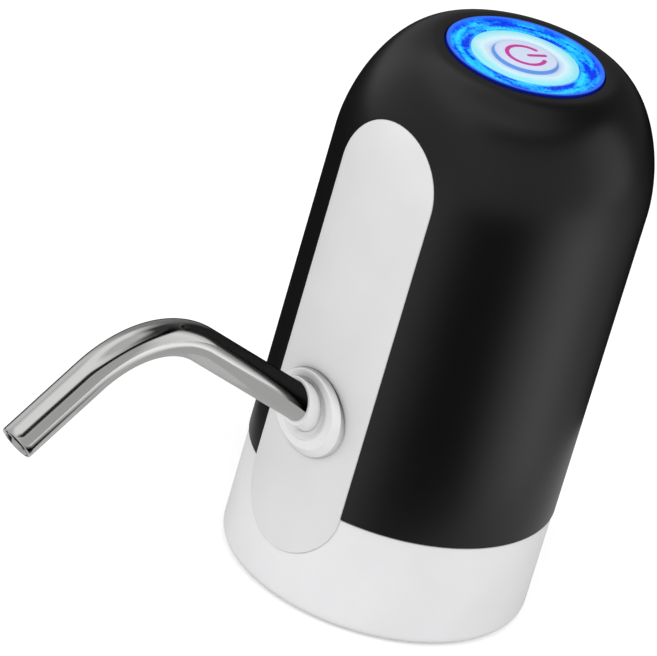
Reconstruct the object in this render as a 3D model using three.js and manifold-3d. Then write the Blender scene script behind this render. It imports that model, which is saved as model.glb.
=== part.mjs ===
// Bottled water pump: a rechargeable tap that stands on the neck of a large water bottle.
// Millimetres, +Z up, spout towards -Y. The origin is the middle of the part's own box,
// on the plane of the rim that it rests on.
import * as THREE from 'three';
import { mergeVertices, toCreasedNormals } from 'three/addons/utils/BufferGeometryUtils.js';
import Module from 'manifold-3d';

const wasm = await Module();
wasm.setup();

// Clearances and drawing values
const FIT = 0.3;
const PRESS = 0.1;
const OVERRUN = 6;
const WELD = 1e-4;
const COARSE = 8;
const SMALL = 8;
const ROUND = 12;
const FINE = 24;
const RING_SEGMENTS = 32;
const HOUSING_SEGMENTS = 40;
const DOME_STEPS = 8;
const INNER_DOME_STEPS = 4;
const FILLET_STEPS = 3;
const ARC_STEPS = 4;
const SPOUT_SIDES = 16;
const O_RING_SIDES = 6;
const BEND_STEPS = 8;
const WIRE_SIDES = 5;
const WIRE_STEPS = 10;

// Housing: a straight can with a soft dome and a small flat top
const BODY_D = 75;
const BODY_R = BODY_D / 2;
const BODY_H = 137;
const DOME_H = 29;
const DOME_FLAT_MARGIN = 2.5;
const DOME_FULLNESS = 1.78;
const SHELL_WALL = 2.6;
const SEAM_Z = 27.3;

// White base and the well that drops over the bottle neck
const BASE_INSET = 0.3;
const BASE_WALL = 3;
const BASE_FILLET = 2.5;
const NECK_D = 55;
const NECK_PLAY = 1;
const WELL_R = NECK_D / 2 + NECK_PLAY;
const WELL_WALL = 2;
const WELL_CHAMFER = 1;
const RIM_FLOOR = 2.4;
const PLATE_T = 2.5;
const SPIGOT_WALL = 2;
const SPIGOT_H = 5.7;
const SPIGOT_ROOT = 5.3;
const BASE_RIBS = 8;
const BASE_RIB_T = 1.4;
const BASE_RIB_H = 16;

// Flush front panel
const PANEL_W = 30.3;
const PANEL_BOTTOM = 12;
const PANEL_TOP_MARGIN = 13.6;
const PANEL_T = 1.3;

// Spout: a bent steel tube that plugs into an inclined socket
const TUBE_D = 8.6;
const TUBE_R = TUBE_D / 2;
const TUBE_WALL = 0.55;
const INLET_Z = 48.9;
const INLET_ANGLE = 30.3;
const RISE_L = 49.5;
const BEND_R = 29;
const DROP_ANGLE = 39.5;
const DROP_L = 22.5;
const TUBE_PLUGGED_L = 13.5;

// Grommet on the panel and the turning collar round the tube
const FLANGE_R = 11;
const FLANGE_FACE_R = 9.6;
const FLANGE_PROUD = 2.35;
const FLANGE_CROWN = 0.5;
const FLANGE_DROP = 0.7;
const FLANGE_ROOT = 3;
const NECK_SLEEVE_WALL = 1.7;
const NECK_SLEEVE_L = 5;
const COLLAR_WALL = 0.8;
const COLLAR_PROUD = 7;
const COLLAR_RIM = 1.1;
const COLLAR_RIM_L = 2;

// Socket that seals the tube and carries the hose
const SOCKET_L = 6.5;
const SOCKET_END_T = 1.6;
const O_RING_D = 1.4;
const O_RING_STARTS = [0.8, 3.4];
const BARB_R = 2.6;
const BARB_WALL = 0.9;
const BARB_TIP_PROUD = 0.5;
const BARB_NOSE_L = 1.3;
const HOSE_WALL = 1.1;

// Screws through the base, the carrier and the shell's bosses
const SCREW_CIRCLE_R = 22.5;
const SCREW_R = 1.2;
const SCREW_HEAD_R = 2.6;
const SCREW_HEAD_H = 1.7;
const SCREW_GRIP = 9;
const BOSS_R = 3.2;
const BOSS_H = 13;
const BOSS_RIB_T = 2;
const SCREW_AZIMUTHS = [45, 135, 225, 315];

// Gear pump
const GEAR_PITCH_D = 10;
const GEAR_TEETH = 10;
const GEAR_PRESSURE_ANGLE = 28;
const GEAR_ADDENDUM = 0.9;
const GEAR_DEDENDUM = 1.2;
const GEAR_BACKLASH = 0.16;
const GEAR_FACE = 7.6;
const FLANK_STEPS = 2;
const SHAFT_R = 1;
const PUMP_WALL = 2.8;
const PUMP_ROOF = 3.8;
const PUMP_COVER_T = 2.4;
const GASKET_T = 0.6;
const GASKET_MARGIN = 0.8;
const GASKET_W = 1.7;
const PUMP_SEAT_H = 2;
const PUMP_SEAT_W = 1.6;
const PUMP_SEAT_INSET = 2.2;
const PUMP_HUB_R = 4.8;
const PUMP_HUB_L = 2.8;
const EAR_R = 2.6;
const PUMP_SCREW_R = 1;
const PUMP_SCREW_HEAD_R = 1.9;
const PUMP_SCREW_HEAD_H = 1.4;
const PUMP_SCREW_L = 11;
const PORT_R = 2.2;
const PORT_POCKET_H = 7;
const PUMP_Y = -5.5;
const SEAL_R = 2.6;
const SEAL_H = 1.2;

// Inlet nipple for the drop hose
const NIPPLE_R = 4;
const NIPPLE_TOP_R = 3;
const NIPPLE_BORE_R = 2.3;
const NIPPLE_BARB_R = 4.5;
const NIPPLE_WAIST_R = 3.6;
const NIPPLE_BARB_STEP = 3;
const NIPPLE_BARBS = 3;
const NIPPLE_FLANGE_R = 6.5;
const NIPPLE_FLANGE_T = 1.6;
const BARB_RAMP_SHARE = 0.8;
const INLET_O_RING_D = 1.2;

// Silicone seal in the well
const SEAL_RING_W = 1.9;
const SEAL_RING_H = 4.6;
const SEAL_LIP = 0.8;

// Motor
const MOTOR_R = 12.2;
const MOTOR_CAN_L = 29;
const MOTOR_CAN_WALL = 1;
const MOTOR_BOSS_R = 3.2;
const MOTOR_BOSS_L = 1.2;
const MAGNET_T = 1.7;
const MAGNET_L = 20;
const MAGNET_ANGLE = 128;
const MAGNET_START = 4;
const AIR_GAP = 0.5;
const ROTOR_L = 16;
const ROTOR_POLES = 3;
const ROTOR_HUB_R = 3.4;
const POLE_NECK = 3;
const POLE_TIP_T = 1.7;
const POLE_ANGLE = 96;
const ROTOR_START = 6;
const COMMUTATOR_R = 2.4;
const COMMUTATOR_L = 4;
const END_CAP_T = 1.6;
const END_CAP_PLUG = 1.8;
const END_CAP_WALL = 1.6;
const TERMINAL_W = 2;
const TERMINAL_T = 0.5;
const TERMINAL_H = 3;
const TERMINAL_X = 7;

// Battery, one round cell
const CELL_R = 9.2;
const CELL_HEADROOM = 6.5;
const CELL_CRIMP = 0.5;
const CELL_CRIMP_DOWN = 4;
const CELL_NUB_R = 3;
const CELL_NUB_H = 0.6;
const CELL_WALL_GAP = 8.7;
const CELL_Y = 4;
const TAB_W = 6;
const TAB_L = 13;
const TAB_T = 0.3;
const TAB_TOP_AZIMUTH = 180;
const TAB_BOTTOM_AZIMUTH = 125;

// Carrier that holds pump, motor, cell, board and socket
const CARRIER_T = 2;
const CARRIER_MARGIN = 0.6;
const CRADLE_WALL = 1.5;
const MOTOR_CRADLE_H = 44;
const MOTOR_CRADLE_FROM = 75;
const MOTOR_CRADLE_TO = 200;
const CELL_CRADLE_FROM = -50;
const CELL_CRADLE_TO = 70;
const CELL_CUP_T = 2;
const CELL_CRADLE_SHARE = 0.79;
const RAIL_W = 3;
const RAIL_DEPTH = 4;
const RAIL_SLOT = 1.2;
const RAIL_H = 34;
const SADDLE_W = 12;
const SADDLE_L = 5.5;
const SADDLE_SETBACK = 9;
const SADDLE_DROP = 11;

// Main board and charging socket
const BOARD_T = 1.6;
const BOARD_W = 26;
const BOARD_H = 50;
const BOARD_Y = 25;
const BOARD_BOTTOM = 32;
const CHIP_W = 5;
const CHIP_H = 4;
const CHIP_T = 1.6;
const CHIP_Z = 52;
const COIL_R = 3.4;
const COIL_T = 3;
const COIL_Z = 64;
const COIL_X = 6;
const USB_Z = 40;
const USB_W = 8;
const USB_H = 3;
const USB_CORNER = 0.7;
const USB_L = 6.4;
const USB_WALL = 0.35;
const USB_BACK_T = 1.4;
const USB_TONGUE_W = 4.4;
const USB_TONGUE_T = 0.6;
const USB_TONGUE_RECESS = 1;
const USB_PORT_W = 11;
const USB_PORT_H = 5.6;

// Light ring and push button in the top
const RING_R = 18.9;
const RING_W = 5.7;
const RING_FLANGE = 1.7;
const RING_FLANGE_T = 3;
const RING_CHANNEL_D = 0.3;
const RING_RIM_W = 1.1;
const CAP_RIM = 1.6;
const CAP_RIM_T = 1.4;
const CAP_T = 1.4;
const CAP_SKIRT_T = 1.3;
const CAP_SKIRT_L = 4.6;
const CAP_PAD_R = 7.5;
const CAP_PAD_H = 0.5;
const CAP_PAD_EDGE = 0.5;
const CAP_STEM_R = 2.2;
const BUTTON_TRAVEL = 0.8;
const SWITCH_W = 6;
const SWITCH_H = 3.4;
const SWITCH_WELL = 2;
const PLUNGER_R = 1.7;
const PLUNGER_L = 2.2;
const LIGHT_BOARD_T = 1.6;
const LIGHT_BOARD_DROP = 4.4;
const LED_COUNT = 6;
const LED_W = 2.8;
const LED_L = 3.2;
const LED_T = 1.5;
const HOLDER_WALL = 1.4;
const HOLDER_T = 2;
const HOLDER_BORE_R = 8;
const HOLDER_EAR_REACH = 6;
const HOLDER_BOSS_R = 3;
const HOLDER_SCREW_R = 1;
const HOLDER_SCREW_HEAD_R = 2;
const HOLDER_SCREW_HEAD_H = 1.4;
const HOLDER_SCREW_GRIP = 4;
const HOLDER_PILOT_L = 5;

// Leads, which the housing holds all the way
const WIRE_R = 0.7;
const MOTOR_RED_ROUTE = [[-12, -5.5, 82.4], [-12, -3, 87], [-10, 8, 88], [-8, 18, 84], [-6, 24.4, 79]];
const MOTOR_BLACK_ROUTE = [[2, -5.5, 82.4], [2, -3, 86], [1, 6, 86], [-1, 16, 82], [-1, 24.4, 77]];
const CELL_RED_ROUTE = [[11.5, 4, 118], [7, 10, 117], [4, 17, 108], [4, 20, 90], [4, 24.4, 76]];
const CELL_BLACK_ROUTE = [[10, 15, 51.5], [8.5, 18, 54], [7, 20.5, 60], [6, 22.5, 64], [6, 24.4, 68]];
const BUTTON_ROUTE = [[-2, 24.4, 81], [-2, 20, 88], [-2, 13, 104], [-1, 4, 117], [0, 0, 124.6]];

// Heights stacked up from the base plate
const PLATE_TOP = SEAM_Z;
const PLATE_BOTTOM = PLATE_TOP - PLATE_T;
const CARRIER_Z = PLATE_TOP + FIT;
const CARRIER_TOP = CARRIER_Z + CARRIER_T;
const COVER_Z = CARRIER_TOP + PUMP_SEAT_H + FIT;
const COVER_TOP = COVER_Z + PUMP_COVER_T;
const GASKET_Z = COVER_TOP + FIT;
const PUMP_Z = GASKET_Z + GASKET_T + FIT;
const GEAR_Z = PUMP_Z + FIT;
const POCKET_TOP = GEAR_Z + GEAR_FACE + FIT;
const PUMP_TOP = POCKET_TOP + PUMP_ROOF;
const MOTOR_Z = PUMP_TOP + FIT;
const MOTOR_TOP = MOTOR_Z + MOTOR_CAN_L;
const CUP_TOP = MOTOR_Z + CELL_CUP_T;
const CELL_Z = CUP_TOP + FIT + TAB_T + FIT;
const HOUSING_INNER_R = BODY_R - SHELL_WALL;
const PANEL_TOP = BODY_H - PANEL_TOP_MARGIN;

// Sizes in plan
const GEAR_PITCH_R = GEAR_PITCH_D / 2;
const GEAR_TIP_R = GEAR_PITCH_R + GEAR_ADDENDUM;
const GEAR_POCKET_R = GEAR_TIP_R + FIT;
const PUMP_R = GEAR_POCKET_R + PUMP_WALL;
const EAR_X = GEAR_PITCH_R + PUMP_R + PUMP_SCREW_R / 2;
const PORT_Y = -PUMP_Y;
const COLLAR_BORE_R = TUBE_R + PRESS;
const COLLAR_R = COLLAR_BORE_R + COLLAR_WALL;
const SLEEVE_BORE_R = COLLAR_R + FIT;
const SLEEVE_R = SLEEVE_BORE_R + NECK_SLEEVE_WALL;
const PASSAGE_R = SLEEVE_R + FIT;
const SOCKET_R = SLEEVE_R;
const CELL_X = HOUSING_INNER_R - CELL_WALL_GAP - CELL_R;
const RING_INNER_R = RING_R - RING_W;
const DOME_FLAT_R = RING_R + DOME_FLAT_MARGIN;
const LIGHT_BOARD_R = RING_R + PRESS;
const LED_CIRCLE_R = (RING_R + RING_INNER_R) / 2;
const HOLDER_EAR_X = LIGHT_BOARD_R + HOLDER_EAR_REACH;

// Top group, hung from the flat top
const CAP_TOP = BODY_H;
const CAP_R = RING_INNER_R - FIT;
const RING_LEDGE_Z = BODY_H - SHELL_WALL - FIT;
const RING_Z = RING_LEDGE_Z - RING_FLANGE_T;
const CAP_RIM_TOP = CAP_TOP - CAP_SKIRT_L + CAP_RIM_T;
const LIGHT_BOARD_TOP = RING_Z - LIGHT_BOARD_DROP;
const LIGHT_BOARD_Z = LIGHT_BOARD_TOP - LIGHT_BOARD_T;
const HOLDER_TOP = LIGHT_BOARD_Z - FIT;
const HOLDER_Z = HOLDER_TOP - HOLDER_T;
const CELL_TOP = HOLDER_Z - CELL_HEADROOM - CELL_NUB_H;
const SWITCH_Z = LIGHT_BOARD_TOP + FIT;
const SWITCH_TOP = SWITCH_Z + SWITCH_H;
const PLUNGER_Z = SWITCH_TOP - SWITCH_WELL + BUTTON_TRAVEL + FIT;
const PLUNGER_TOP = PLUNGER_Z + PLUNGER_L;
const STEM_Z = PLUNGER_TOP + FIT;

const degrees = THREE.MathUtils.degToRad;

// Geometry tools

// Joins the vertices that a geometry class repeats and drops faces without area
function welded(geometry) {
  const bare = new THREE.BufferGeometry();
  bare.setAttribute('position', geometry.getAttribute('position').clone());
  if (geometry.index) bare.setIndex(geometry.index.clone());
  const merged = mergeVertices(bare, WELD);
  const faces = [];
  const index = merged.index.array;
  for (let i = 0; i < index.length; i += 3) {
    const [a, b, c] = [index[i], index[i + 1], index[i + 2]];
    if (a !== b && b !== c && c !== a) faces.push(a, b, c);
  }
  merged.setIndex(faces);
  return merged;
}

function signedVolume(geometry) {
  const position = geometry.getAttribute('position');
  const index = geometry.index.array;
  const a = new THREE.Vector3();
  const b = new THREE.Vector3();
  const c = new THREE.Vector3();
  let volume = 0;
  for (let i = 0; i < index.length; i += 3) {
    a.fromBufferAttribute(position, index[i]);
    b.fromBufferAttribute(position, index[i + 1]);
    c.fromBufferAttribute(position, index[i + 2]);
    volume += a.dot(b.cross(c)) / 6;
  }
  return volume;
}

// A closed solid whose faces point out
function closed(geometry) {
  const merged = welded(geometry);
  if (signedVolume(merged) < 0) {
    const index = merged.index.array;
    for (let i = 0; i < index.length; i += 3) {
      [index[i + 1], index[i + 2]] = [index[i + 2], index[i + 1]];
    }
  }
  return merged;
}

function toManifold(geometry) {
  return new wasm.Manifold(new wasm.Mesh({
    numProp: 3,
    vertProperties: new Float32Array(geometry.getAttribute('position').array),
    triVerts: new Uint32Array(geometry.index.array),
  }));
}

function fromManifold(manifold) {
  const mesh = manifold.getMesh();
  const geometry = new THREE.BufferGeometry();
  const positions = new Float32Array(mesh.vertProperties);
  geometry.setAttribute('position', new THREE.BufferAttribute(positions, 3));
  geometry.setIndex(new THREE.BufferAttribute(new Uint32Array(mesh.triVerts), 1));
  return geometry;
}

function combined(operation, first, rest) {
  let result = toManifold(first);
  for (const geometry of rest.flat()) result = result[operation](toManifold(geometry));
  return fromManifold(result);
}

const join = (first, ...rest) => combined('add', first, rest);
const cut = (first, ...rest) => combined('subtract', first, rest);
const common = (first, ...rest) => combined('intersect', first, rest);

// A solid of revolution about Z from an outline of [radius, height] pairs
function turned(outline, segments = FINE) {
  const points = outline.map(([r, z]) => new THREE.Vector2(r, z));
  const [first, last] = [points[0], points[points.length - 1]];
  if (first.x > 0 || last.x > 0) points.push(first.clone());
  return closed(new THREE.LatheGeometry(points, segments).rotateX(Math.PI / 2));
}

function rod(radius, bottom, top, segments = FINE) {
  return turned([[0, bottom], [radius, bottom], [radius, top], [0, top]], segments);
}

function ring(inner, outer, bottom, top, segments = FINE) {
  return turned([[inner, bottom], [outer, bottom], [outer, top], [inner, top]], segments);
}

function block(width, depth, bottom, top, x = 0, y = 0) {
  const box = new THREE.BoxGeometry(width, depth, top - bottom);
  return closed(box.translate(x, y, (bottom + top) / 2));
}

// A flat outline raised from one height to another
function raised(shape, bottom, top, curveSegments = ARC_STEPS) {
  const options = { depth: top - bottom, bevelEnabled: false, curveSegments };
  return closed(new THREE.ExtrudeGeometry(shape, options).translate(0, 0, bottom));
}

// A flat outline in X and Z pushed from one Y to another
function pushed(shape, front, back, curveSegments = ARC_STEPS) {
  const options = { depth: back - front, bevelEnabled: false, curveSegments };
  const solid = new THREE.ExtrudeGeometry(shape, options);
  return closed(solid.rotateX(Math.PI / 2).translate(0, back, 0));
}

// An outline with round ends, drawn about two centres on X
function longHole(halfSpan, radius) {
  const shape = new THREE.Shape();
  shape.absarc(halfSpan, 0, radius, -Math.PI / 2, Math.PI / 2);
  shape.absarc(-halfSpan, 0, radius, Math.PI / 2, 3 * Math.PI / 2);
  return shape;
}

function arcWall(inner, outer, from, to) {
  const shape = new THREE.Shape();
  shape.absarc(0, 0, outer, degrees(from), degrees(to), false);
  shape.absarc(0, 0, inner, degrees(to), degrees(from), true);
  return shape;
}

function moved(geometry, x, y, z) {
  return geometry.clone().translate(x, y, z);
}

function aboutZ(geometry, angle) {
  return geometry.clone().rotateZ(degrees(angle));
}

const root = new THREE.Group();
const housing = new THREE.Group();
root.add(housing);

function finish(color, roughness, metalness) {
  return new THREE.MeshStandardMaterial({ color, roughness, metalness });
}

// Finishes
const blackPlastic = finish(0x17171a, 0.32, 0);
const whitePlastic = finish(0xe5e5e5, 0.35, 0);
const panelPlastic = finish(0xdbdbdb, 0.35, 0);
const innerPlastic = finish(0xcfd2d4, 0.5, 0);
const polishedSteel = finish(0xb9b9b7, 0.18, 1);
const dullSteel = finish(0x9a9c9e, 0.4, 1);
const ringPlastic = finish(0x0c78e6, 0.3, 0);
const buttonPlastic = finish(0xcfeefa, 0.3, 0);
const silicone = finish(0xe8ebec, 0.6, 0);
const clearHose = finish(0xdfe6e6, 0.4, 0);
const darkRubber = finish(0x222222, 0.8, 0);
const gearPlastic = finish(0xf0ede2, 0.45, 0);
const greenBoard = finish(0x1f6b3a, 0.5, 0);
const chipPlastic = finish(0x1b1b1d, 0.5, 0);
const cellSleeve = finish(0x2d63b0, 0.4, 0);
const nickel = finish(0xc4c2bb, 0.35, 1);
const magnetGrey = finish(0x3b3d40, 0.6, 0);
const copper = finish(0xb0623a, 0.4, 1);
const ledLens = finish(0xcfe3f5, 0.3, 0);
const redWire = finish(0xb5202a, 0.5, 0);
const blackWire = finish(0x151515, 0.5, 0);
const blueWire = finish(0x2354a8, 0.5, 0);

const CREASE = degrees(35);

function piece(parent, name, geometry, material) {
  const mesh = new THREE.Mesh(toCreasedNormals(geometry, CREASE), material);
  mesh.name = name;
  parent.add(mesh);
  return mesh;
}

function group(parent, x, y, z) {
  const holder = new THREE.Group();
  holder.position.set(x, y, z);
  parent.add(holder);
  return holder;
}

// Housing surface: a can, a superelliptic dome and a flat top, set in by a distance
function domePoint(angle, inset) {
  const power = 2 / DOME_FULLNESS;
  const across = Math.sin(angle);
  const up = Math.max(Math.cos(angle), 0);
  const width = BODY_R - DOME_FLAT_R;
  const out = new THREE.Vector2(DOME_H * across ** (2 - power), width * up ** (2 - power)).normalize();
  const r = DOME_FLAT_R + width * across ** power - inset * out.x;
  const z = BODY_H - DOME_H + DOME_H * up ** power - inset * out.y;
  return [r, z];
}

function housingSolid(inset, bottom, steps = DOME_STEPS) {
  const outline = [[0, bottom], [BODY_R - inset, bottom]];
  for (let i = 0; i <= steps; i += 1) {
    outline.push(domePoint(Math.PI / 2 * (1 - i / steps), inset));
  }
  outline.push([0, BODY_H - inset]);
  return turned(outline, HOUSING_SEGMENTS);
}

// The long rounded outline of the front panel, pushed in from the front
function panelPrism(grow) {
  const halfWidth = PANEL_W / 2 + grow;
  const shape = new THREE.Shape();
  shape.absarc(0, PANEL_BOTTOM - grow + halfWidth, halfWidth, Math.PI, 2 * Math.PI);
  shape.absarc(0, PANEL_TOP + grow - halfWidth, halfWidth, 0, Math.PI);
  return pushed(shape, -BODY_R - OVERRUN, 0, COARSE);
}

function panelRecess() {
  return cut(panelPrism(FIT), housingSolid(PANEL_T + FIT, -OVERRUN));
}

// The spout's inlet line leaves the front face upwards; s runs out along it from that face
function atInlet(geometry) {
  return geometry.clone().rotateX(degrees(90 - INLET_ANGLE)).translate(0, -BODY_R, INLET_Z);
}

const passage = atInlet(rod(PASSAGE_R, -NECK_SLEEVE_L - OVERRUN, OVERRUN));

function atAzimuth(geometry, radius, azimuth) {
  return aboutZ(moved(geometry, radius, 0, 0), azimuth);
}

// Upper shell: black moulding with screw bosses, a port at the back and a hole for the light ring
const SPIGOT_TOP = SEAM_Z + SPIGOT_H;
const BOSS_Z = CARRIER_TOP + FIT;
const BOSS_TOP = BOSS_Z + BOSS_H;

function screwBoss(azimuth) {
  const ribMiddle = (BODY_R + SCREW_CIRCLE_R) / 2;
  const rib = block(BODY_R - SCREW_CIRCLE_R, BOSS_RIB_T, SPIGOT_TOP + FIT, BOSS_TOP, ribMiddle);
  const boss = moved(rod(BOSS_R, BOSS_Z, BOSS_TOP, ROUND), SCREW_CIRCLE_R, 0, 0);
  return aboutZ(join(boss, rib), azimuth);
}

function holderBoss(side) {
  return moved(rod(HOLDER_BOSS_R, HOLDER_TOP + FIT, BODY_H, ROUND), side * HOLDER_EAR_X, 0, 0);
}

function upperShell() {
  const bottom = SEAM_Z + FIT / 2;
  const hollow = housingSolid(SHELL_WALL, bottom - OVERRUN, INNER_DOME_STEPS);
  const skin = cut(housingSolid(0, bottom), hollow);
  const bosses = [...SCREW_AZIMUTHS.map(screwBoss), holderBoss(-1), holderBoss(1)];
  const core = housingSolid(SHELL_WALL / 2, bottom - OVERRUN, INNER_DOME_STEPS);
  const shell = join(skin, bosses.map((boss) => common(boss, core)));
  const ringHole = rod(RING_R + FIT, BODY_H - SHELL_WALL - OVERRUN, BODY_H + OVERRUN, HOUSING_SEGMENTS);
  const portShape = longHole((USB_PORT_W - USB_PORT_H) / 2, USB_PORT_H / 2);
  const port = moved(pushed(portShape, BODY_R - SHELL_WALL - OVERRUN / 2, BODY_R + OVERRUN), 0, 0, USB_Z);
  const pilot = rod(SCREW_R + PRESS, BOSS_Z - OVERRUN, CARRIER_TOP + SCREW_GRIP + 2 * FIT, COARSE);
  const pilots = SCREW_AZIMUTHS.map((azimuth) => atAzimuth(pilot, SCREW_CIRCLE_R, azimuth));
  const holderPilots = [-1, 1].map((side) => moved(
    rod(HOLDER_SCREW_R + PRESS, HOLDER_TOP - OVERRUN, HOLDER_TOP + HOLDER_PILOT_L, COARSE),
    side * HOLDER_EAR_X, 0, 0));
  return cut(shell, ringHole, panelRecess(), passage, port, pilots, holderPilots);
}

// Base collar: white moulding whose well drops over the bottle neck
function filletPoints(r, radius) {
  const points = [];
  for (let i = 0; i <= FILLET_STEPS; i += 1) {
    const angle = Math.PI / 2 * (i / FILLET_STEPS);
    points.push([r - radius + radius * Math.sin(angle), radius - radius * Math.cos(angle)]);
  }
  return points;
}

function baseCollar() {
  const outer = BODY_R - BASE_INSET;
  const wallInner = outer - BASE_WALL;
  const spigotR = HOUSING_INNER_R - FIT;
  const spigotInner = spigotR - SPIGOT_WALL;
  const wellOuter = WELL_R + WELL_WALL;
  const shoulderZ = SEAM_Z - SPIGOT_ROOT;
  const seam = SEAM_Z - FIT / 2;
  const outline = [
    [0, PLATE_BOTTOM], [WELL_R, PLATE_BOTTOM], [WELL_R, WELL_CHAMFER], [WELL_R + WELL_CHAMFER, 0],
    ...filletPoints(outer, BASE_FILLET), [outer, seam], [spigotR, seam], [spigotR, SPIGOT_TOP],
    [spigotInner, SPIGOT_TOP], [spigotInner, shoulderZ], [wallInner, shoulderZ - wallInner + spigotInner],
    [wallInner, RIM_FLOOR], [wellOuter, RIM_FLOOR], [wellOuter, PLATE_TOP], [0, PLATE_TOP],
  ];
  const ribs = [];
  for (let i = 0; i < BASE_RIBS; i += 1) {
    const length = wallInner - wellOuter + BASE_WALL / 2 + WELL_WALL / 2;
    const middle = (wallInner + BASE_WALL / 2 + wellOuter - WELL_WALL / 2) / 2;
    const rib = block(length, BASE_RIB_T, RIM_FLOOR / 2, RIM_FLOOR + BASE_RIB_H, middle);
    ribs.push(aboutZ(rib, (i + 1 / 2) * 360 / BASE_RIBS));
  }
  const inletHole = rod(NIPPLE_R + FIT, PLATE_BOTTOM - OVERRUN, PLATE_TOP + OVERRUN, ROUND);
  const screwHoles = SCREW_AZIMUTHS.map((azimuth) => atAzimuth(
    rod(SCREW_R + FIT, PLATE_BOTTOM - OVERRUN, PLATE_TOP + OVERRUN, COARSE), SCREW_CIRCLE_R, azimuth));
  return cut(join(turned(outline, HOUSING_SEGMENTS), ribs), inletHole, screwHoles, panelRecess());
}

// Front panel: a thin curved plate, flush with the shell and bent over the start of the dome
function frontPanel() {
  const plate = common(housingSolid(0, 0), panelPrism(0));
  return cut(plate, housingSolid(PANEL_T, -OVERRUN), passage);
}

piece(housing, 'upper_shell', upperShell(), blackPlastic);
piece(housing, 'base_collar', baseCollar(), whitePlastic);
piece(housing, 'front_panel', frontPanel(), panelPlastic);

// Spout grommet: a raised disc on the panel, whose edge slopes up along the spout, and a sleeve
// that reaches the socket
function spoutFlange() {
  const edge = FIT;
  const outline = [[0, -FLANGE_ROOT], [FLANGE_R, -FLANGE_ROOT]];
  for (let i = 0; i <= FILLET_STEPS; i += 1) {
    const angle = Math.PI / 2 * (i / FILLET_STEPS);
    const r = FLANGE_FACE_R + (FLANGE_R - FLANGE_FACE_R) * Math.cos(angle);
    outline.push([r, edge + (FLANGE_PROUD - edge) * Math.sin(angle)]);
  }
  outline.push([SLEEVE_BORE_R, FLANGE_PROUD + FLANGE_CROWN], [0, FLANGE_PROUD + FLANGE_CROWN]);
  const slope = new THREE.Matrix4().makeShear(0, 0, 0, -Math.tan(degrees(INLET_ANGLE)), 0, 0);
  const disc = turned(outline).rotateX(degrees(90)).applyMatrix4(slope);
  const seat = rod(BODY_R + FIT, 0, BODY_H, HOUSING_SEGMENTS);
  const seated = cut(moved(disc, 0, -BODY_R, INLET_Z - FLANGE_DROP), seat);
  const front = block(2 * FLANGE_R, 2 * BODY_R, 0, BODY_H, 0, -2 * BODY_R - FIT - FLANGE_PROUD / 2);
  const sleeve = cut(atInlet(rod(SLEEVE_R, -NECK_SLEEVE_L, SLEEVE_R)), front);
  return cut(join(seated, sleeve), atInlet(rod(SLEEVE_BORE_R, -NECK_SLEEVE_L - OVERRUN, FLANGE_R)));
}

piece(housing, 'spout_flange', spoutFlange(), whitePlastic);

// Everything round the spout's inlet line is drawn in a group that is turned onto it
const inlet = group(housing, 0, -BODY_R, INLET_Z);
inlet.rotation.x = degrees(90 - INLET_ANGLE);

function spoutCollar() {
  const bottom = -NECK_SLEEVE_L - FIT - COLLAR_RIM_L;
  const rimR = COLLAR_R + COLLAR_RIM;
  return turned([
    [COLLAR_BORE_R, bottom], [rimR, bottom], [rimR, bottom + COLLAR_RIM_L], [COLLAR_R, bottom + COLLAR_RIM_L],
    [COLLAR_R, COLLAR_PROUD - COLLAR_WALL / 2], [COLLAR_R - COLLAR_WALL / 2, COLLAR_PROUD],
    [COLLAR_BORE_R, COLLAR_PROUD],
  ], SPOUT_SIDES);
}

piece(inlet, 'spout_collar', spoutCollar(), whitePlastic);

// The tube's centre line: a straight rise, one bend and a straight drop to the mouth
class SpoutLine extends THREE.Curve {
  getPoint(share, target = new THREE.Vector3()) {
    const place = share * (BEND_STEPS + 2);
    const turn = degrees(INLET_ANGLE + DROP_ANGLE);
    if (place <= 1) return target.set(0, 0, -TUBE_PLUGGED_L + (RISE_L + TUBE_PLUGGED_L) * place);
    const angle = turn * Math.min((place - 1) / BEND_STEPS, 1);
    const beyond = DROP_L * Math.max(place - 1 - BEND_STEPS, 0);
    const y = -BEND_R * (1 - Math.cos(angle)) - beyond * Math.sin(turn);
    const z = RISE_L + BEND_R * Math.sin(angle) + beyond * Math.cos(turn);
    return target.set(0, y, z);
  }

  getUtoTmapping(share) {
    return share;
  }
}

function spoutTube() {
  const section = new THREE.Shape();
  section.absarc(0, 0, TUBE_R, 0, 2 * Math.PI);
  const bore = new THREE.Path();
  bore.absarc(0, 0, TUBE_R - TUBE_WALL, 0, 2 * Math.PI);
  section.holes.push(bore);
  return closed(new THREE.ExtrudeGeometry(section, {
    steps: BEND_STEPS + 2,
    curveSegments: SPOUT_SIDES / 2,
    extrudePath: new SpoutLine(),
  }));
}

piece(inlet, 'spout_tube', spoutTube(), polishedSteel);

// Spout socket: an inclined cup with two seal grooves and a barb for the hose
const SOCKET_FACE = -NECK_SLEEVE_L - FIT;
const SOCKET_SEAT = SOCKET_FACE - COLLAR_RIM_L - FIT;
const SOCKET_FLOOR = SOCKET_SEAT - SOCKET_L;
const SOCKET_BACK = SOCKET_FLOOR - SOCKET_END_T;
const O_RING_R = TUBE_R + FIT;
const GROOVE_W = O_RING_D + 2 * FIT;
const GROOVE_R = O_RING_R + O_RING_D + FIT;

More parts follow.
